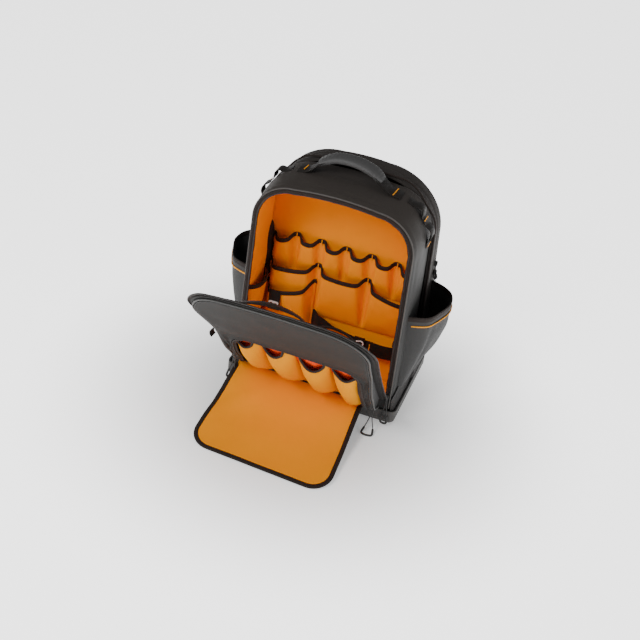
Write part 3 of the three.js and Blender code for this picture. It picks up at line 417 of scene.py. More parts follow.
def smoothPath(points, steps, closed=False):
    points = [Vector(p) for p in points]
    count = len(points)
    spans = count if closed else count - 1
    dense = []
    for span in range(spans):
        p1, p2 = points[span], points[(span + 1) % count]
        p0 = points[span - 1] if closed or span else p1 * 2 - p2
        p3 = points[(span + 2) % count] if closed or span < spans - 1 else p2 * 2 - p1
        for k in range(12):
            t = k / 12
            dense.append(0.5 * ((2 * p1) + (p2 - p0) * t + (2 * p0 - 5 * p1 + 4 * p2 - p3) * t ** 2
                                + (3 * p1 - p0 - 3 * p2 + p3) * t ** 3))
    dense.append(points[0] if closed else points[-1])
    whole = lengths(dense)[-1]
    targets = [whole * step / steps for step in range(steps if closed else steps + 1)]
    return [point for point, along in walk(dense, targets)]


# the pack's arches, as in the solids
clearance = 0.3
footZ = 3.3
bodyForm = {"halfBottom": 171, "halfTop": 164, "height": 466, "foot": footZ, "topRadius": 80,
            "bottomRadius": 22, "crown": 6}
rearForm = {**bodyForm, "halfBottom": 182, "halfTop": 171, "height": 479, "topRadius": 122,
            "crown": 3}
body = {"frontY": -95, "lean": 10, "grooveY": 45, "frontRound": 10, "bulge": 4}
bodyDepth = body["grooveY"] - body["frontY"]
rear = {"frontY": 45.3, "depthTop": 60, "depthFoot": 94, "puff": 5}
bootHeight = 34
liningInset = 3.3
wallY = 31


def halfAt(form, z):
    low, high = form["foot"] + form["bottomRadius"], form["height"] - form["topRadius"]
    return mix(form["halfBottom"], form["halfTop"], clamp((z - low) / (high - low)))


def archPoints(form, inset=0.0, steps=(20, 12, 28, 12, 20), low=None, foot=False):
    top = form["height"] - inset
    shoulder = max(form["topRadius"] - inset, 4)
    heel = max(form["bottomRadius"] - inset, 2)
    bottom = form["foot"] + inset
    start = bottom + heel if low is None else low
    wide = (form["halfBottom"] if low is None else halfAt(form, low)) - inset
    right = form["halfTop"] - inset
    points = [(mix(wide, right, s), mix(start, top - shoulder, s)) for s in spaced(steps[0])]

    def arc(cx, cz, radius, first, last, count):
        for s in spaced(count)[1:]:
            a = math.radians(mix(first, last, s))
            points.append((cx + radius * math.cos(a), cz + radius * math.sin(a)))
    arc(right - shoulder, top - shoulder, shoulder, 0, 90, steps[1])
    for s in spaced(steps[2])[1:]:
        flat = right - shoulder
        points.append((mix(flat, -flat, s), top + 4 * form["crown"] * s * (1 - s)))
    arc(shoulder - right, top - shoulder, shoulder, 90, 180, steps[3])
    points += [(mix(-right, -wide, s), mix(top - shoulder, start, s))
               for s in spaced(steps[4])[1:]]
    if foot:
        arc(heel - wide, bottom + heel, heel, 180, 270, 5)
        points += [(mix(heel - wide, wide - heel, s), bottom) for s in spaced(24)[1:]]
        arc(wide - heel, bottom + heel, heel, 270, 360, 5)
        points.pop()
    return points


def bodyY(share, z):
    return mix(body["frontY"] + body["lean"] * z / bodyForm["height"], body["grooveY"], share)


def bodyHalfAt(z):
    return halfAt(bodyForm, z)


def bodyTopAt(x):
    flat = bodyForm["halfTop"] - bodyForm["topRadius"]
    over = max(abs(x) - flat, 0)
    drop = bodyForm["topRadius"] - math.sqrt(max(bodyForm["topRadius"] ** 2 - over ** 2, 0))
    return (bodyForm["height"] + body["bulge"] + bodyForm["crown"] * max(1 - (x / flat) ** 2, 0)
            - drop)


# main body
def bodyShell():
    rows = []
    places = [(10 - 10 * math.sin(a), 10 - 10 * math.cos(a), 0)
              for a in [math.radians(90 - 15 * k) for k in range(7)]]
    places += [(mix(12, bodyDepth - 8, s), 0, 1) for s in spaced(22)]
    places += [(bodyDepth - d, inset, 0) for d, inset in reversed(
        [(6 - 6 * math.sin(a), 6 - 6 * math.cos(a)) for a in
         [math.radians(90 - 30 * k) for k in range(4)]])]
    for depth, inset, soft in places:
        share = depth / bodyDepth
        bulge = body["bulge"] * math.sin(math.pi * share) if soft else 0
        form = {**bodyForm, **{size: bodyForm[size] + bulge for size in
                               ("halfBottom", "halfTop", "height", "topRadius")}}
        row = []
        for x, z in archPoints(form, inset, foot=True, steps=(46, 16, 40, 16, 46)):
            y = bodyY(share, z)
            out = Vector((x, 0, (z - 240) * 0.8)).normalized()
            low = clamp((z - 40) / 60)
            edge = math.sin(math.pi * share) ** 0.6 if 0 < share < 1 else 0
            wave = rough((x, y * 1.4, z * 0.6), 62, 3) * 2.4 + rough((x, y, z), 24, 8) * 0.8
            fold = 2.2 * math.exp(-((share - 0.18 - 0.05 * math.sin(z / 40)) / 0.05) ** 2)
            fold *= clamp(abs(rough((0, 0, z + x), 70, 5)) * 2)
            push = (wave - fold) * edge * low
            row.append(Vector((x, y, z)) + out * push)
        rows.append(row)
    gridPiece("body_shell", rows, "shellCloth", ("outer_shell",), wall=2.6, wrap=True,
              facing=outwardFrom((0, -30, 230)), fill=0.35)


def liningTube():
    rows = []
    rearEdge = wallY - clearance
    for s in spaced(26):
        share = mix(body["frontRound"] / bodyDepth, (rearEdge - body["frontY"]) / bodyDepth, s)
        row = []
        for x, z in archPoints(bodyForm, liningInset, foot=True, steps=(40, 14, 34, 14, 40)):
            y = min(bodyY(share, z), rearEdge)
            inward = Vector((-x, 0, 240 - z)).normalized()
            slack = (2.6 + rough((x, y, z), 46, 1) * 3.2) * math.sin(math.pi * s) ** 0.5
            slack *= clamp((z - 6) / 30)
            row.append(Vector((x, y, z)) + inward * max(slack, 0))
        rows.append(row)
    gridPiece("main_lining_cloth", rows, "orangeLining", ("main_lining",), wall=1.2, wrap=True,
              facing=outwardFrom((0, -30, 230)))


def rearWallCloth():
    outline = archPoints(bodyForm, liningInset, foot=True)
    rows = []
    for s in [0.012] + spaced(30)[1:]:
        row = []
        for x, z in outline:
            px, pz = mix(0, x, s), mix(236, z, s)
            wave = rough((px, 0, pz), 80, 2) * 1.6 + rough((px, 0, pz), 30, 6) * 0.5
            row.append(Vector((px, wallY + 1.2 - abs(wave) * (1 - s ** 6), pz)))
        rows.append(row)
    gridPiece("rear_wall_cloth", rows, "orangeLining", ("rear_wall_lining",), wall=2.4, wrap=True,
              capped="start")


bodyShell()
liningTube()
rearWallCloth()
print("stage: body")


# opening edge: tape with a scalloped inner edge, piping, zip coil
opening = {"tapeIn": 4.6, "tapeWide": 8.0, "sill": 60, "pipe": 1.9, "pitch": 2.6}


def openingEdge():
    steps = (90, 30, 70, 30, 90)
    outer = archPoints(bodyForm, opening["tapeIn"], steps, low=opening["sill"])
    inner = archPoints(bodyForm, opening["tapeIn"] + opening["tapeWide"], steps,
                       low=opening["sill"])
    rows = []
    for s in spaced(4):
        row = []
        for (ax, az), (bx, bz) in zip(outer, inner):
            scallop = 1 + 0.16 * rough((ax, 0, az), 16, 4) * s
            x, z = mix(ax, mix(ax, bx, scallop), s), mix(az, mix(az, bz, scallop), s)
            row.append((x, bodyY(0, z) - 0.4 + 2.2 * s ** 2 + rough((x, 1, z), 20) * s, z))
        rows.append(row)
    gridPiece("opening_tape", rows, "darkBinding", ("opening_zip_tape",), wall=1.4)
    teeth = [(x, bodyY(0, z) + 0.8, z) for x, z in
             archPoints(bodyForm, opening["tapeIn"] + opening["tapeWide"] - 2.2, steps,
                        low=opening["sill"] + 6)]
    rowOfTeeth("opening_teeth", teeth, 3.0, 1.5, opening["pitch"], (0, -1, 0))
    seat = 10 * (1 - math.sqrt(0.5)) - (opening["pipe"] + clearance) * math.sqrt(0.5)
    line = [(x, bodyY(seat / bodyDepth, z), z)
            for x, z in archPoints(bodyForm, seat, steps, low=38)]
    sweepPiece("opening_piping_cord", line, roundSection(1.5), "edgePiping",
               ("opening_piping",), upward=(0, 1, 0))


def rowOfTeeth(name, line, wide, tall, pitch, upward):
    line = [Vector(p) for p in line]
    build = bmesh.new()
    build.loops.layers.uv.new("flat")
    targets = [step * pitch + pitch / 2 for step in range(int(lengths(line)[-1] / pitch))]
    for centre, along in walk(line, targets):
        along = along.normalized()
        side = along.cross(Vector(upward)).normalized()
        up = side.cross(along).normalized()
        corners = [build.verts.new((centre + along * a * pitch + side * b * wide / 2
                                    + up * c * tall) * mm)
                   for a in (-0.3, 0.3) for b, c in ((-1, 0), (1, 0), (0.7, 1), (-0.7, 1))]
        for face in ((0, 1, 2, 3), (7, 6, 5, 4), (0, 4, 5, 1), (1, 5, 6, 2), (2, 6, 7, 3),
                     (3, 7, 4, 0)):
            build.faces.new([corners[i] for i in face])
    bmesh.ops.recalc_face_normals(build, faces=build.faces[:])
    pieceFrom(build, name, "pullCord")


def frontSill():
    low, high = 13.6, 59.7

    def place(u, v):
        z = mix(low, high, v)
        corner = max(bodyForm["bottomRadius"] - 10 - (z - low), 0)
        side = bodyHalfAt(z) - 10.3 - corner
        return mix(-side, side, u), bodyY(0, z) + rough((u * 300, 0, z), 40) * 0.5, z
    gridPiece("front_sill_cloth", rowsOf(40, 8, place), "shellCloth", ("front_sill",), wall=2.6)


openingEdge()
frontSill()
print("stage: opening")


# rear section
def rearY(z, back):
    return mix(rear["frontY"] + rear["depthFoot"], rear["frontY"] + rear["depthTop"],
               z / rearForm["height"]) - back


def rearSection():
    rows = []
    quarter = [math.radians(90 - 18 * k) for k in range(6)]
    steps = (34, 18, 34, 18, 34)

    def ring(inset, place, soft=0.0):
        row = []
        for x, z in archPoints(rearForm, inset, steps, foot=True):
            out = Vector((x, 0, z - 240)).normalized()
            y = place(z)
            wave = rough((x, y, z), 58, 11) * 2.0 * soft * clamp((z - 40) / 60)
            row.append(Vector((x, y, z)) + out * wave)
        return row
    for a in quarter:
        rows.append(ring(6 - 6 * math.cos(a), lambda z, a=a: rear["frontY"] + 6 - 6 * math.sin(a)))
    for s in spaced(12)[1:-1]:
        groove = 2.0 if 0.42 < s < 0.58 else 0.0
        rows.append(ring(groove, lambda z, s=s: mix(rear["frontY"] + 6, rearY(z, 14), s),
                         math.sin(math.pi * s)))
    for a in reversed(quarter):
        rows.append(ring(14 - 14 * math.cos(a), lambda z, a=a: rearY(z, 14 - 14 * math.sin(a))))
    gridPiece("rear_shell", rows, "rearCloth", ("rear_section_shell",), wall=2.6, wrap=True,
              facing=outwardFrom((0, 80, 230)), fill=0.4)
    line = [(x, body["grooveY"] + 0.15, z) for x, z in widestArch(38)]
    sweepPiece("groove_piping_cord", line, roundSection(2.0), "darkBinding", ("groove_piping",),
               upward=(0, 1, 0))


def widestArch(low):
    steps = (40, 18, 34, 18, 40)
    first = archPoints(rearForm, clearance, steps, low=low)
    second = archPoints(bodyForm, clearance, steps, low=low)
    return [(math.copysign(max(abs(a[0]), abs(b[0])), a[0]), max(a[1], b[1]))
            for a, b in zip(first, second)]


def backPanel():
    rows = []
    rings = [(12, 14.3), (6, 14.3), (2, 14.6), (0.4, 17), (0, 20), (0, 34), (-3, 44), (-5, 58),
             (-5, 80), (-5, 105), (-5, 130), (-5, 150), (-5, 165)]
    for back, inset in rings:
        row = []
        for x, z in archPoints(rearForm, inset, (26, 14, 24, 14, 26), foot=True):
            channel = 0.0
            if inset > 40:
                channel = 3.2 * math.exp(-((abs(x) - 22) / 7) ** 2)
                channel += 2.6 * math.exp(-((z % 96 - 48) / 6) ** 2) * (abs(x) > 26)
            row.append((x, rearY(z, back + channel + rough((x, 0, z), 40, 9) * 0.8), z))
        rows.append(row)
    gridPiece("back_pad", rows, "rearCloth", ("back_panel",), wall=0, wrap=True,
              facing=(0, 1, 0), fill=0.6, capped=True)


rearSection()
backPanel()
print("stage: rear")


# lower side guards and side pockets
def sideX(side, y, z, off):
    share = clamp((y - body["frontY"]) / bodyDepth)
    return side * (bodyHalfAt(z) + body["bulge"] * math.sin(math.pi * share) + off)


def sideGuard(side, label):
    def place(u, v):
        y = mix(-93, 118, u)
        z = mix(bootHeight - 6, mix(60, 128, u) - 12 * max(u - 0.8, 0), v)
        top = max(abs(sideX(side, y, z, 2.4)), halfAt(rearForm, z) + 2.4 if y > 38 else 0)
        rim = 181.4 - 13 * clamp((-85 - y) / 8) ** 2  # where it meets the boot's edge
        x = mix(top, max(rim, top), clamp(1 - v * 1.25) ** 1.3)
        return side * (x + rough((y, z, 0), 22) * 0.4), y, z
    gridPiece(f"guard_{label}", rowsOf(40, 16, place), "guardCloth", (f"side_guard_{label}",),
              wall=1.4, facing=(side, 0, 0))


# share from front to rear, mouth reach, mouth height, foot reach, foot height
sidePocketRows = [[0, 0, 236, 0, 70], [0.14, 31, 232, 22, 74], [0.38, 46, 229, 36, 80],
                  [0.63, 52, 229, 44, 92], [0.85, 40, 232, 34, 106], [1, 0, 234, 0, 118]]
sidePocketLook = {"right": {"side": 1, "full": 1.0, "lift": 0},
                  "left": {"side": -1, "full": 1.2, "lift": 10}}


def sidePocket(label):
    side, full, lift = sidePocketLook[label].values()

    def place(u, v):
        y = mix(-58, 104, u)
        z = mix(curveTable(sidePocketRows, u, 4), curveTable(sidePocketRows, u, 2) + lift, v)
        fill = math.sin(min(v * 1.35, 1) * math.pi / 2)
        foot = max(curveTable(sidePocketRows, u, 3), 0)
        wide = max(curveTable(sidePocketRows, u, 1), 0)
        reach = full * mix(foot * 0.25, mix(foot, wide, v), fill)
        seat = mix(abs(sideX(side, y, z, 0)), halfAt(rearForm, z), clamp((y + 10) / 50)) + 4.4
        seat -= 4 * clamp(1 - u / 0.05) + 14 * clamp((u - 0.93) / 0.07) ** 1.5
        sag = rough((y, z, 5), 34, 7 + side) * 2.2 * math.sin(math.pi * u) * (1 - v ** 3)
        fold = 3.4 * math.exp(-((u - 0.2 - 0.06 * v) / 0.05) ** 2) * math.sin(math.pi * v) ** 0.8
        return Vector((side * (seat + reach + sag - fold), y, z))
    rows = rowsOf(56, 36, place)
    gridPiece(f"pocket_{label}", rows, "sideCloth", (f"side_pocket_{label}",), wall=2.0,
              facing=(side, 0, 0), held="gathered")
    mouth = [p + Vector((-side, 0, 6.2)) for p in rows[-1]]
    sweepPiece(f"pocket_{label}_edge", mouth, tapeSection(8.5, 3.4), "darkBinding",
               (f"side_pocket_binding_{label}",))
    line = [place(u, 0.915) + Vector((side * 1.5, 0, 0)) for u in spaced(60)[1:-2]]
    sweepPiece(f"pocket_{label}_piping", line, roundSection(1.35, 8), "orangePiping",
               (f"side_pocket_piping_{label}",))


sideGuard(-1, "left")
sideGuard(1, "right")
sidePocket("left")
sidePocket("right")
print("stage: sides")


# tool loops on the rear wall
rowEnd = 0.985
pocketHalf = 164 - liningInset - 1.4 - clearance
toolRows = {
    "upper": {"ticks": [[-rowEnd, 292], [-0.65, 304], [-0.31, 303], [0.03, 302], [0.37, 301],
                        [0.71, 299], [rowEnd, 291]],
              "foot": 214, "bulge": 19, "sag": 8, "layer": 0},
    "middle": {"ticks": [[-rowEnd, 233], [-0.31, 248], [0.37, 246], [rowEnd, 224]],
               "foot": 128, "bulge": 28, "sag": 8, "layer": 1},
    "lower": {"ticks": [[-rowEnd, 182], [-0.31, 211]], "foot": 62, "bulge": 37, "sag": 12,
              "layer": 2},
}


def toolRowPlace(name):
    row = toolRows[name]
    spans = len(row["ticks"]) - 1

    def place(u, v):
        span = min(int(u * spans), spans - 1)
        local = u * spans - span
        start, end = row["ticks"][span], row["ticks"][span + 1]
        hump = math.sin(math.pi * local)
        edge = min(local, 1 - local) * (end[0] - start[0]) * pocketHalf  # mm from the tick
        arch = 1 / (1 + (edge / mix(4, 11.5, v)) ** 5)
        swell = (1 - arch) * (0.86 + 0.14 * hump)
        top = mix(start[1], end[1], local) - row["sag"] * (1 - arch) * (0.8 + 0.2 * hump)
        x = mix(start[0], end[0], local) * pocketHalf
        rise = math.sin(math.pi / 2 * v) ** 0.8
        base = wallY - clearance - 2 - row["layer"] * 3.6
        z = mix(row["foot"], top, v)
        crease = rough((x, 0, z), 26, 12) * 1.6 * hump * math.sin(math.pi * min(v + 0.1, 1))
        lean = 2.5 * math.sin(math.pi * v) * rough((span * 31.0, z * 0.3, 1), 20, 2)
        return Vector((x + lean * hump, base - row["bulge"] * swell * rise - crease, z))
    return place


def toolRow(name):
    place = toolRowPlace(name)
    spans = len(toolRows[name]["ticks"]) - 1
    columns = spans * (26 if name == "upper" else 40)
    rows = rowsOf(columns, 26, place)
    gridPiece(f"{name}_tool_row", rows, "orangeLining", (f"{name}_pocket_row",), wall=1.5,
              held="gathered")
    mouth = [p + Vector((0, 0.7, 2.6)) for p in rows[-1]]
    sweepPiece(f"{name}_row_edge", mouth, tapeSection(7.2, 3.6), "darkBinding",
               (f"{name}_row_binding",))
    for index in range(1, spans):
        p = place(index / spans, 1)
        path = [p + Vector((0, -2.6 - 0.4 * s, -7 + 12 * s)) for s in spaced(6)]
        sweepPiece(f"{name}_tack_{index}", path, bandSection(1.8, 0.9), "orangePiping",
                   upward=(0, -1, 0))


for rowName in toolRows:
    toolRow(rowName)


# a dark band in the left rear corner: partly a dark binding, partly a painted shadow for the shade
# in the gap at that corner
def cornerBindingAndShade():
    def place(u, v):
        z = mix(196, 322, v)
        wave = rough((0, 0, z), 18, 4) * 2.5
        full = clamp((1 - v) * 5) ** 0.5
        return (liningInset + 2 - bodyHalfAt(z) + mix(1, (9 + wave) * full, u),
                mix(mix(22, 8, full), 27, u) - 4 * full * math.sin(math.pi * u), z)
    gridPiece("corner_binding_and_painted_shade", rowsOf(8, 30, place), "darkBinding", wall=1.4, facing=(1, -1, 0))


cornerBindingAndShade()
print("stage: tool rows")


# webbing tab with a plain plate, band with a clip
def plateTab():
    place = toolRowPlace("lower")
    ticks = toolRows["lower"]["ticks"]
    spread = (-0.77 - ticks[0][0]) / (ticks[1][0] - ticks[0][0])
    anchor = place(spread, 1)
    face = min(anchor.y, place(spread + 0.15, 1).y, place(spread + 0.15, 0.9).y) - 1.4
    path = smoothPath([(anchor.x, face + 1.5, anchor.z + 6), (anchor.x, face - 1, anchor.z - 4),
                       (anchor.x + 0.5, face - 2.5, anchor.z - 22),
                       (anchor.x + 1, face - 3.4, anchor.z - 38)], 24)
    sweepPiece("plate_tab_strap", path, bandSection(25, 1.9), "webbing", ("plate_tab",),
               upward=(0, -1, 0))
    middle = Vector((anchor.x + 0.6, face - 6.4, anchor.z - 24))
    plate = hardPiece("plate", "cube", middle, (22, 1.5, 15), "plainMetal",
                      ("plate_tab_metal",), corner=3.2)
    for offset in (-5, 5):
        hole = hardPiece("plate_hole", "cylinder", middle + Vector((offset, 0, 1)),
                         (6.2, 6.2, 12), "plainMetal", turn=90)
        applyModifier(plate, "BOOLEAN", operation="DIFFERENCE", object=hole, solver="EXACT")
        bpy.data.objects.remove(hole)
    applyModifier(plate, "BEVEL", width=0.0003, segments=2)
    smooth(plate, 35)


def tapeBand():
    # share of the half width, stand-off, middle height, width
    rows = [[-0.3, 12, 118, 50], [-0.18, 26, 116, 46], [0.1, 30, 106, 36], [0.4, 29, 100, 32],
            [0.75, 29, 99, 32], [1.03, 22, 98, 32]]

    def place(u, v):
        t = mix(rows[0][0], rows[-1][0], u)
        x = t * pocketHalf
        y = wallY - fromTable(rows, t, 1) - 1.6 * math.sin(math.pi * v)
        z = fromTable(rows, t, 2) + (v - 0.5) * fromTable(rows, t, 3)
        return x, y + rough((x, 0, z), 24, 3) * 0.9, z + rough((x, 5, 0), 40) * 1.2
    gridPiece("tool_band", rowsOf(60, 8, place), "webbing", ("tape_band",), wall=1.8, held="hung")
    x = pocketHalf * 0.42
    face = wallY - 29.6 - clearance - 2.4
    path = [(x, face - 0.6 * math.sin(math.pi * s), 123 - 58 * s) for s in spaced(16)]
    sweepPiece("clip_strap", path, bandSection(23, 1.9), "webbing", ("clip_tab",),
               upward=(0, -1, 0))
    tack = [(x + 22, face + 0.6, 112 - 26 * s) for s in spaced(8)]
    sweepPiece("band_tack", tack, bandSection(1.8, 0.8), "orangePiping", upward=(0, -1, 0))


plateTab()
tapeBand()


# wall pockets on the lining's sides
wallPockets = {
    "left": {"side": -1, "front": -70, "rear": 14, "foot": 70, "mouthFront": 214,
             "mouthRear": 224, "bulge": 17},
    "right": {"side": 1, "front": -76, "rear": -8, "foot": 70, "mouthFront": 176,
              "mouthRear": 172, "bulge": 15},
}


def wallPocket(label):
    look = wallPockets[label]

    def place(u, v):
        y = mix(look["front"], look["rear"], u)
        mouth = mix(look["mouthFront"], look["mouthRear"], u) - 8 * math.sin(math.pi * u)
        z = mix(look["foot"], mouth, v)
        swell = math.sin(math.pi * u) ** 0.6 * math.sin(math.pi / 2 * v)
        off = 7.0 + look["bulge"] * swell + rough((y, z, 0), 24, 2) * 1.2 * swell
        return Vector((look["side"] * (bodyHalfAt(z) - off), y, z))
    rows = rowsOf(30, 22, place)
    gridPiece(f"wall_pocket_{label}", rows, "orangeLining", (f"{label}_wall_pocket",), wall=1.5,
              facing=(-look["side"], 0, 0), held="gathered")
    mouth = [p + Vector((look["side"] * 0.7, 0, 2.4)) for p in rows[-1]]
    sweepPiece(f"wall_pocket_{label}_edge", mouth, tapeSection(8.5, 3.6), "darkBinding")


wallPocket("left")
wallPocket("right")
print("stage: inside details")


# front door, leaning forward from its hinge
door = {"length": 405, "hingeY": -92.5, "hingeZ": 60.6, "leanLow": 43, "leanTop": 37,
        "drift": -14, "halfBottom": 160, "core": 9, "lift": 18, "squash": 0.6, "twist": 27}
pocketDepths = [[0, 24], [0.14, 38], [0.32, 34], [0.6, 17], [1, 10]]
doorTucks = [[0, 8], [0.3, 24], [0.6, 22], [0.85, 4], [1, 0]]
doorForm = {"halfBottom": 160, "halfTop": 180, "height": 405, "foot": 0, "topRadius": 92,
            "bottomRadius": 12, "crown": 5}
mouthForm = {"halfBottom": 143, "halfTop": 141, "height": 234, "foot": 14, "topRadius": 46,
             "bottomRadius": 2, "crown": 3}
flangeOut = 5.3


def doorPoint(x, u, n):
    share = u / door["length"]
    bend = math.radians(mix(door["leanLow"], door["leanTop"], share / 2))
    lean = math.radians(mix(door["leanLow"], door["leanTop"], share))
    left = 0.5 - x / door["halfBottom"] / 2
    pocketPart = max(n - door["core"], 0)
    depth = n - pocketPart * door["squash"] * left * (1 - share) ** 2
    twist = door["lift"] - door["twist"] * (x / door["halfBottom"])
    along = u + twist * (pocketPart / 38) * (1 - share)
    tuck = fromTable(doorTucks, share) * (min(x, 0) / door["halfBottom"]) ** 2
    return Vector((x + tuck + door["drift"] * share,
                   door["hingeY"] - along * math.sin(bend) - depth * math.cos(lean),
                   door["hingeZ"] + along * math.cos(bend) - depth * math.sin(lean)))


def pocketDepth(u):
    return fromTable(pocketDepths, u / door["length"])


doorOut = doorPoint(0, 200, 1) - doorPoint(0, 200, 0)
doorUp = (doorPoint(0, 201, 0) - doorPoint(0, 200, 0)).normalized()
doorSteps = (40, 20, 36, 20, 40)


def doorDisc(inset, place, rings=24):
    outline = archPoints(doorForm, inset, (30, 16, 28, 16, 30), foot=True)
    return [[place(x * s, mix(door["length"] * 0.5, u, s), s) for x, u in outline]
            for s in [0.012] + spaced(rings)[1:]]


def doorPanels():
    def inner(x, u, s):
        return doorPoint(x, u, -abs(rough((x, u, 0), 60, 4)) * 1.5 * (1 - s ** 4))
    gridPiece("door_lining_cloth", doorDisc(6, inner), "orangeLining",
              ("door_lining",), wall=1.2, wrap=True, facing=-doorOut,
              capped="start")
    board = doorDisc(0, lambda x, u, s: doorPoint(x, u, flangeOut), rings=8)
    gridPiece("door_board", board, "doorCloth", ("door_flange",), wall=2.8, wrap=True,
              facing=doorOut, fill=0.2, capped="start")
    rows = []
    for s in spaced(14):
        row = []
        for x, u in archPoints(doorForm, 10, doorSteps, foot=True):
            n = mix(flangeOut + clearance, pocketDepth(u), s)
            crush = rough((x, u, n), 20, 6) * 2.6 + rough((x, u, n * 3), 9, 2) * 0.8
            crush *= math.sin(math.pi * s) * clamp((pocketDepth(u) - 8) / 16)
            away = Vector((x, u - 200, 0)).normalized()
            row.append(doorPoint(x + away.x * crush, u + away.y * crush, n))
        rows.append(row)
    gridPiece("door_side_wall", rows, "sideCloth", ("door_gusset",), wall=1.8, wrap=True,
              facing=outwardFrom(doorPoint(0, 200, 15)), held="gathered")
    seam = [doorPoint(x, u, pocketDepth(u) - 2.3) for x, u in
            archPoints(doorForm, 7.1, (80, 30, 60, 30, 80))]
    sweepPiece("door_piping", seam, roundSection(1.9, 8), "greyPiping", ("door_edge_piping",),
               upward=(0, 1, 0))


def mouthShift(u):  # the pocket's mouth leans to the right towards its top
    return mix(-3, 9, u / 224)


def doorFront():
    outerArch = archPoints(doorForm, 12.3, doorSteps)
    mouthArch = archPoints(mouthForm, -clearance, doorSteps)
    rows = []
    for s in spaced(24):
        row = []
        for (ax, au), (bx, bu) in zip(outerArch, mouthArch):
            bx += mouthShift(bu)
            x, u = mix(ax, bx, s), mix(au, bu, s)
            edge = math.sin(math.pi * clamp(s)) ** 0.7
            puff = 2.5 * edge * clamp((u - 200) / 60)
            wave = rough((x, u, 0), 48, 9) * 1.6 * edge
            low = clamp((230 - u) / 60) * edge
            wave += (rough((x * 3, u, 0), 34, 5) * 7 + rough((x * 2, u, 4), 15, 1) * 2.5) * low
            lip = 3.0 * clamp((s - 0.9) / 0.1) * clamp((u - 150) / 60)
            row.append(doorPoint(x, u, pocketDepth(u) + puff + wave + lip))
        rows.append(row)
    gridPiece("door_front_cloth", rows, "doorCloth", ("door_front_panel",), wall=2.2,
              facing=doorOut, fill=0.3)
    outer = archPoints(mouthForm, 0, doorSteps)
    inner = archPoints(mouthForm, 12, doorSteps)
    tape = [[doorPoint(mix(a[0], b[0], s) + mouthShift(a[1]),
                       mix(a[1], b[1], s) + rough((a[0], a[1], s), 14) * 2 * s,
                       pocketDepth(mix(a[1], b[1], s)) + 0.6 - 1.0 * s + 1.5 * s
                       * rough((a[0], a[1], 3), 22))
             for a, b in zip(outer, inner)] for s in spaced(5)]
    gridPiece("pocket_zip_band", tape, "darkBinding", ("pocket_zip_tape",), wall=1.3,
              facing=doorOut)
    line = [doorPoint(x + mouthShift(u), u, pocketDepth(u) + 1.2) for x, u in
            archPoints(mouthForm, 3.5, (60, 24, 60, 24, 60))]
    rowOfTeeth("pocket_zip_teeth", line, 3.2, 1.5, 2.4, doorOut)


def doorZip():
    steps = (70, 30, 60, 30, 70)
    rows = []
    for s in spaced(4):
        rows.append([doorPoint(x, u, 3.2 + 1.4 * rough((x, u, 0), 26) * s)
                     for x, u in archPoints(doorForm, 0.5 - 6.5 * s, steps)])
    gridPiece("door_zip_tape", rows, "darkBinding", wall=1.3, facing=doorOut)
    line = [doorPoint(x, u, 3.6 + 1.4 * rough((x, u, 0), 26)) for x, u in
            archPoints(doorForm, -5.5, steps)]
    rowOfTeeth("door_zip_teeth", line, 3.0, 1.4, 2.6, doorOut)


# pouches: edges as shares of half the mouth; scoop: start and end across it, and depth
pouches = {
    "a": {"left": -0.99, "right": -0.53, "scoop": (0.06, 0.78, 25)},
    "b": {"left": -0.49, "right": 0.0, "scoop": (0.0, 0.72, 29)},
    "c": {"left": 0.05, "right": 0.51, "scoop": (0.08, 0.92, 34)},
    "d": {"left": 0.55, "right": 0.99, "scoop": (0.02, 0.94, 30)},
}
pouchHalf, pouchTop = 136, 220


def pouchSurface(x, u, across):  # across is 0 to 1 over the pouch
    hump = math.sin(math.pi * across)
    upper = clamp((u + 8) / 238)
    rise = math.sin(math.pi * upper) ** (0.75 if upper < 0.5 else 0.95)
    x += mouthShift(u)
    rise = max(rise, clamp((u + 4) / 44) ** 0.45) if u < 90 else rise
    pleat = rough((x, u * 0.5, 3), 20, 4) * 1.6 * hump
    return doorPoint(x, u, 10.6 + 32 * hump ** 0.58 * rise + pleat)


def frontPouches():
    def backPlace(u, v):
        return doorPoint(mix(147.4, -147.4, u), mix(16, 256, v),
                         6.8 + rough((u * 300, v * 240, 0), 40) * 0.4)
    gridPiece("pocket_back_cloth", rowsOf(30, 24, backPlace), "orangeLining",
              ("pocket_backing",), wall=1.0, facing=doorOut)

    def redPlace(u, v):
        x = mix(pouchHalf, -pouchHalf, u)
        hump = max(math.sin(math.pi * clamp((x / pouchHalf - look["left"])
                                            / (look["right"] - look["left"])))
                   for look in pouches.values())
        fold = 8 + abs(rough((u * 300, v * 90, 2), 22)) * 5
        return doorPoint(x + mouthShift(150), mix(122, 222, v),
                         7.9 + fold * hump * math.sin(math.pi * v))
    gridPiece("pouch_back_red", rowsOf(80, 20, redPlace), "redCloth", ("pouch_lining",),
              wall=0.9, facing=doorOut)
    for name, look in pouches.items():
        def place(t, v):
            x = mix(look["left"], look["right"], t) * pouchHalf
            start, end, deep = look["scoop"]
            down = deep * math.sin(math.pi * clamp((t - start) / (end - start))) ** 0.45
            return pouchSurface(x, mix(6 + 13 * (1 - math.sin(math.pi * t)) ** 1.6,
                                       pouchTop - down, v), t)
        gridPiece(f"pouch_{name}_cloth", rowsOf(60, 40, place), "pouchCloth",
                  (f"pouch_{name}",), wall=1.4, facing=doorOut, held="gathered")
        low, high = look["scoop"][:2]
        mouth = smoothPath([place(mix(low, high, t), 1) for t in spaced(16)], 60)
        sweepPiece(f"pouch_{name}_edge", mouth, roundSection(2.7, 10), "darkBinding",
                   upward=doorUp)

    def floorPlace(u, v):
        return doorPoint(mix(140, -140, u), 13.5 - 5.5 * clamp(v * 4 - 3),
                         mix(8, pocketDepth(8) - 2.4, v) + rough((u * 300, v * 20, 0), 16) * 1.2)
    gridPiece("pocket_floor_cloth", rowsOf(60, 12, floorPlace), "orangeLining", wall=1.0,
              facing=doorUp)


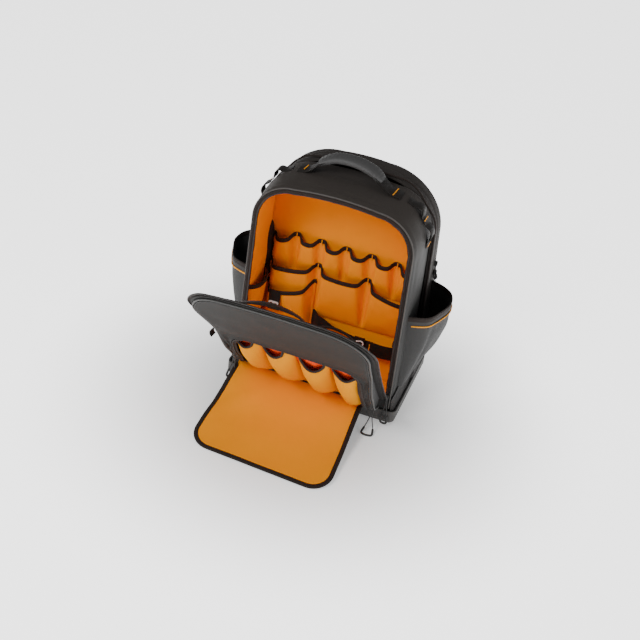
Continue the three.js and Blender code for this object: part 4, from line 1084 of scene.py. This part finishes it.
def doorTrims():
    arch = [[-128, 2], [-112, 9], [-84, 24], [-32, 34], [20, 29], [46, 16], [58, 2.6]]
    path = smoothPath([doorPoint(x, 330, -off) for x, off in arch], 60)
    inward, tilted = doorPoint(0, 300, -1) - doorPoint(0, 300, 0), Vector((0.1, -0.6, 0.7))
    sweepPiece("door_webbing_loop", path, bandSection(18, 1.9), "webbing", ("door_inner_loop",),
               upward=lambda index, centre: inward.lerp(
                   tilted, 0.5 * math.sin(math.pi * index / 60)))

    def place(u, v):
        x, along = mix(70, 148, u), mix(200, 372 - 30 * u, v)
        swell = math.sin(math.pi * u) ** 0.6 * math.sin(math.pi / 2 * v)
        return doorPoint(x, along, -2.6 - 16 * swell + rough((x, along, 0), 20) * swell)
    rows = rowsOf(24, 20, place)
    gridPiece("door_inner_pouch", rows, "orangeLining", ("door_inner_pocket",), wall=1.4,
              facing=-doorOut, held="gathered")
    mouth = [p + doorUp * 1.4 for p in rows[-1]]
    sweepPiece("door_inner_pouch_edge", mouth, tapeSection(6, 3.2), "darkBinding", upward=doorUp)
    tab = [doorPoint(-175, 210, 0) + Vector((-14 * math.sin(s * 2.4), -3 * s, -22 * s))
           for s in spaced(16)]
    sweepPiece("door_tab", tab, bandSection(20, 1.9), "webbing", ("door_side_tab",),
               upward=(-1, 0, 0))


doorPanels()
doorFront()
doorZip()
frontPouches()
doorTrims()
print("stage: door")


# front pocket flap, open to the floor
flap = {"length": 226, "farY": -347, "skew": 0.07, "driftHinge": -16, "driftEnd": -18,
        "wall": 4.4}
seamU = 10 - clearance * 2 - flap["wall"] * 0.5
flapForm = {"halfBottom": 141, "halfTop": 151, "height": 226, "foot": 0, "topRadius": 46,
            "bottomRadius": 2, "crown": 0}


def flapPoint(x, w, rise):
    share = w / flap["length"]
    lift = max(1 - share, 0) ** 1.5
    hingeX = x + flap["driftHinge"]
    seam = doorPoint(hingeX, seamU, pocketDepth(seamU) - 1.6)
    wave = (rough((x, w, 0), 70, 21) * 5 + 1.5) * math.sin(math.pi * clamp(share)) ** 0.7
    wave += 3.0 * math.exp(-((x + w * 0.9 + 20) / 26) ** 2) * math.sin(math.pi * clamp(share))
    return Vector((mix(hingeX, x + flap["driftEnd"], share),
                   mix(seam.y - clearance, flap["farY"] - flap["skew"] * x, share),
                   mix(flap["wall"] / 2, seam.z - clearance * 4, lift) + max(wave, 0) + rise))


def flapPieces():
    steps = (50, 20, 60, 20, 50)
    line = [flapPoint(x, w, 0) for x, w in archPoints(flapForm, 3, steps)]
    inward = [flapPoint(x, w, 0) for x, w in archPoints(flapForm, 13, steps)]
    rows = []
    for turn in spaced(14):
        angle = turn * 2 * math.pi
        rows.append([a.lerp(b, 0.5 + 0.5 * math.cos(angle))
                     + Vector((0, 0, 2.6 * math.sin(angle))) for a, b in zip(line, inward)])
    rows = [list(column) for column in zip(*rows)]
    gridPiece("flap_edge", [r[:-1] for r in rows], "darkBinding", ("flap_binding",), wall=0,
              wrap=True, facing=outwardFrom((-17, -240, 12)), held="laid",
              capped=True)
    for name, rise, node, finish, way in (
            ("flap_lining_cloth", 1.2, "flap_lining", "orangeLining", (0, 0, 1)),
            ("flap_outer_cloth", -1.4, "flap_outer", "shellCloth", (0, 0, -1))):
        outline = archPoints(flapForm, 9, (24, 14, 30, 14, 24))
        outline += [(mix(-134, 134, s), 0.6) for s in spaced(30)]
        rows = [[flapPoint(mix(0, x, s), mix(110, w, s), rise) for x, w in outline]
                for s in [0.012] + spaced(34)[1:]]
        gridPiece(name, rows, finish, (node,), wall=1.0, wrap=True, facing=way, held="laid",
                  capped="start")


flapPieces()
print("stage: flap")


# top handle, side loops, straps
handleRows = [[-1, 0.1], [-0.82, 1], [-0.7, 9], [-0.56, 22], [-0.28, 34], [0.08, 35],
              [0.42, 27], [0.64, 12], [0.8, 1.6], [1, 0.1]]


def topHandle():
    path = smoothPath([(share * 104, -5, bodyTopAt(share * 104) + rise + 1.2)
                       for share, rise in handleRows], 110)
    sweepPiece("handle_strap", path, bandSection(34, 2), "webbing", ("handle_webbing",))
    grip = [p for p in path if abs(p.x) < 62]
    count = len(grip) - 1
    rows = []
    for index, centre in enumerate(grip):
        s = index / count
        side, up = crossways(grip, index, Vector((0, 0, 1)))
        full = 1 - 0.25 * (2 * s - 1) ** 8
        row = []
        for k in range(28):
            a = 2 * math.pi * k / 28
            c, d = math.cos(a), math.sin(a)
            wide = 17.5 * full * bowed(c, 0.75)
            tall = 8.0 * full * bowed(d, 0.8)
            rib = 0.35 * math.sin(s * 120)
            row.append(centre + side * wide + up * (tall + 1 + rib * (d > 0)))
        rows.append(row)
    gridPiece("handle_grip_sleeve", rows, "gripRubber", ("handle_grip",), wall=0, wrap=True,
              facing=lambda p: p - Vector((p.x, -5, 512 - 0.004 * p.x ** 2)), held=None,
              capped=True)
    for index, (x, start, long) in enumerate(((-93, -12, 20), (90, -20, 30))):
        z = bodyTopAt(x) + 3.9
        line = [(x + 2 * s, start + long * s, z) for s in spaced(8)]
        sweepPiece(f"handle_tack_{index + 1}", line, bandSection(2.0, 0.9), "orangePiping")


loopRows = [[24, 0.4], [34, 1], [40, 8], [46, 8], [52, 1], [58, 0.6], [64, 1], [72, 8], [80, 8],
            [88, 1], [96, 0.4]]


def sideLoops(side, label):
    centreX, centreZ = 84, 386
    points = []
    for angle, off in loopRows:
        turn = math.radians(min(angle, 90))
        reach = 84 + off + 0.2
        points.append((side * (centreX + reach * math.sin(turn)), -2,
                       centreZ + reach * math.cos(turn) - max(angle - 90, 0) * 1.5))
    path = smoothPath(points, 90)
    sweepPiece(f"loops_{label}", path, bandSection(24, 1.8), "webbing", (f"side_loops_{label}",),
               upward=lambda i, c: (c.x - side * centreX, 0, c.z - centreZ))
    for index, angle in enumerate((57, 93)):
        turn = math.radians(min(angle, 90))
        x = side * (centreX + 87.6 * math.sin(turn))
        z = centreZ + 87.6 * math.cos(turn) - max(angle - 90, 0) * 1.5
        line = [(x, -13 + 22 * s, z) for s in spaced(8)]
        sweepPiece(f"loop_tack_{label}_{index + 1}", line, bandSection(2.0, 0.9), "orangePiping",
                   upward=(side * math.sin(turn), 0, math.cos(turn)))


strapRows = [[0.93, 58, -1.2, 0.9, 11], [0.86, 60, 22, 1, 12], [0.72, 66, 42, 1, 12],
             [0.56, 80, 44, 0.96, 11], [0.44, 96, 34, 0.8, 8], [0.42, 99, 31, 0.38, 2],
             [0.28, 118, 16, 0.38, 2], [0.13, 132, 0, 0.38, 2]]


def shoulderStrap(side, label):
    def centreAt(row):
        z = row[0] * rearForm["height"]
        return Vector((side * row[1], rearY(z, -rear["puff"] - clearance - row[2]), z))
    path = smoothPath([centreAt(row) for row in strapRows[:5]], 60)
    count = len(path) - 1
    rows = []
    for index, centre in enumerate(path):
        t = index / count * 4
        low = min(int(t), 3)
        wide = mix(strapRows[low][3], strapRows[low + 1][3], t - low) * 33
        thick = mix(strapRows[low][4], strapRows[low + 1][4], t - low) * 0.5
        across, out = crossways(path, index, Vector((0, 1, 0)))
        end = 1 - 0.7 * (2 * index / count - 1) ** 16
        row = []
        for k in range(32):
            a = 2 * math.pi * k / 32
            c, d = math.cos(a), math.sin(a)
            row.append(centre + across * wide * bowed(c, 0.7)
                       + out * thick * (1 + end * bowed(d, 0.6)))
        rows.append(row)
    gridPiece(f"strap_pad_{label}", rows, "rearCloth", (f"shoulder_strap_{label}",), wall=0,
              wrap=True, facing=lambda p: (0, 1, 0) if p.y > 150 else (0, 0, 0), fill=0.5,
              capped=True)
    line = smoothPath([centreAt(row) + Vector((0, 1, 0)) for row in strapRows[4:]], 50)
    sweepPiece(f"strap_webbing_{label}", line, bandSection(25, 1.9), "webbing",
               upward=(0, 1, 0))


topHandle()
for side, label in ((-1, "left"), (1, "right")):
    sideLoops(side, label)
    shoulderStrap(side, label)
print("stage: handle and straps")


# zip pulls: cord loops with a moulded end
pulls = {
    "pocket_pull_right": {"at": doorPoint(145, 18, pocketDepth(18) + 1.8), "long": 62,
                          "wide": 26, "drift": (0, -14)},
    "pocket_pull_left": {"at": doorPoint(-164, 60, flangeOut + 1.8), "long": 66, "wide": 16,
                         "drift": (-10, -6)},
    "main_pull_right": {"at": Vector((163, bodyY(0, 66) - 1.4, 66)), "long": 58, "wide": 15,
                        "drift": (3, -10)},
}


def zipPull(name, at, long, wide, drift, node=None):
    shares = [[0, 0.12], [0.35, 0.22], [0.72, 0.7], [0.94, 0.85], [1, 0.4], [1, -0.4],
              [0.94, -0.85], [0.72, -0.7], [0.35, -0.22], [0, -0.12]]
    points = []
    for s, a in shares:
        drop = at.z - long * s
        spare = max(1.9 - drop, 0)  # the end of a long loop lies on the floor
        points.append(Vector((at.x + drift[0] * s + wide / 2 * a,
                              at.y + drift[1] * s - spare, max(drop, 1.9))))
    path = smoothPath(points, 80, True)
    sweepPiece(f"{name}_cord", path, roundSection(1.1, 8), "pullCord", (node,) if node else (),
               upward=(0, 1, 0.2), closed=True)
    sweepPiece(f"{name}_sleeve", smoothPath(points[2:8], 40), roundSection(2.3), "pullCord",
               upward=(0, 1, 0.2))
    hardPiece(f"{name}_slider", "cube", at + Vector((0, 0.6, 1)), (8, 3.6, 11), "bucklePlastic",
              corner=2)


for pullName, look in pulls.items():
    zipPull(pullName, look["at"], look["long"], look["wide"], look["drift"], pullName)
zipPull("rear_pull_high", Vector((176, 92, 286)), 34, 7, (4, 2))
zipPull("rear_pull_low", Vector((177, 97, 262)), 40, 8, (5, 3))
print("stage: zip pulls")


# nodes that keep their own solids
kept = {"base_boot": "baseRubber", "snap_clip": "plainMetal",
        "strap_buckle_left": "bucklePlastic", "strap_buckle_right": "bucklePlastic"}
for nodeName, finish in kept.items():
    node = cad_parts[nodeName]
    for slot in node.material_slots:
        slot.material = madeMaterials[finish]


# floor, light and camera
def stageAndCamera():
    bpy.ops.mesh.primitive_plane_add(size=14, location=(0, 0, -0.0006))
    floor = bpy.context.active_object
    floor.name = "floor"
    material = bpy.data.materials.new("paleFloor")
    material.use_nodes = True
    shader = material.node_tree.nodes["Principled BSDF"]
    shader.inputs["Base Color"].default_value = (0.92, 0.92, 0.92, 1)
    shader.inputs["Roughness"].default_value = 0.9
    wire = Wire(material.node_tree)
    # the floor glows as a bright backdrop, its glow painted darker near the pack as a painted
    # contact shadow
    place = wire.node("ShaderNodeTexCoord", out=3)
    spread = wire.node("ShaderNodeVectorMath", {"operation": "DISTANCE"},
                       {0: place, 1: (0.0, -0.1, 0.0)}, out=1)
    glowWithPaintedShadow = wire.node("ShaderNodeMapRange", {"interpolation_type": "SMOOTHSTEP"},
                     {0: spread, 1: 0.12, 2: 0.62, 3: 0.12, 4: 1.0})
    material.node_tree.links.new(glowWithPaintedShadow.socket, shader.inputs["Emission Color"])
    shader.inputs["Emission Strength"].default_value = 2.3
    floor.data.materials.append(material)
    world = bpy.data.worlds.new("studio")
    bpy.context.scene.world = world
    world.use_nodes = True
    world.node_tree.nodes["Background"].inputs[0].default_value = (1, 1, 1, 1)
    world.node_tree.nodes["Background"].inputs[1].default_value = 0.26
    # name, place, size, power
    for name, place, size, power in (
            ("key", (-0.75, -1.75, 2.0), 0.8, 37), ("side", (2.2, -0.7, 0.9), 1.2, 12),
            ("top", (0.1, 0.3, 2.5), 1.4, 5)):
        light = bpy.data.lights.new(name, "AREA")
        light.size, light.energy = size, power
        lamp = bpy.data.objects.new(name, light)
        lamp.location = place
        aim = Vector((0, -0.05, 0.2)) - Vector(place)
        lamp.rotation_euler = aim.to_track_quat("-Z", "Y").to_euler()
        bpy.context.scene.collection.objects.link(lamp)
    azimuth, elevation, roll = (math.radians(a) for a in (15.5, 34.35, 7.8))
    back = Vector((math.sin(azimuth) * math.cos(elevation),
                   -math.cos(azimuth) * math.cos(elevation), math.sin(elevation)))
    right = Vector((math.cos(azimuth), math.sin(azimuth), 0))
    up = back.cross(right)
    camX = right * math.cos(roll) + up * math.sin(roll)
    camY = up * math.cos(roll) - right * math.sin(roll)
    camera = bpy.data.objects.new("camera", bpy.data.cameras.new("camera"))
    camera.data.sensor_width, camera.data.lens = 36, 1207.57 * 36 / 640
    camera.data.clip_start, camera.data.clip_end = 0.1, 30
    turn = Matrix((camX, camY, back)).transposed().to_4x4()
    camera.matrix_world = Matrix.Translation(Vector((-0.024, 0, 0.1344)) + back * 2.512) @ turn
    bpy.context.scene.collection.objects.link(camera)
    bpy.context.scene.camera = camera


stageAndCamera()
print("stage: floor, light and camera")
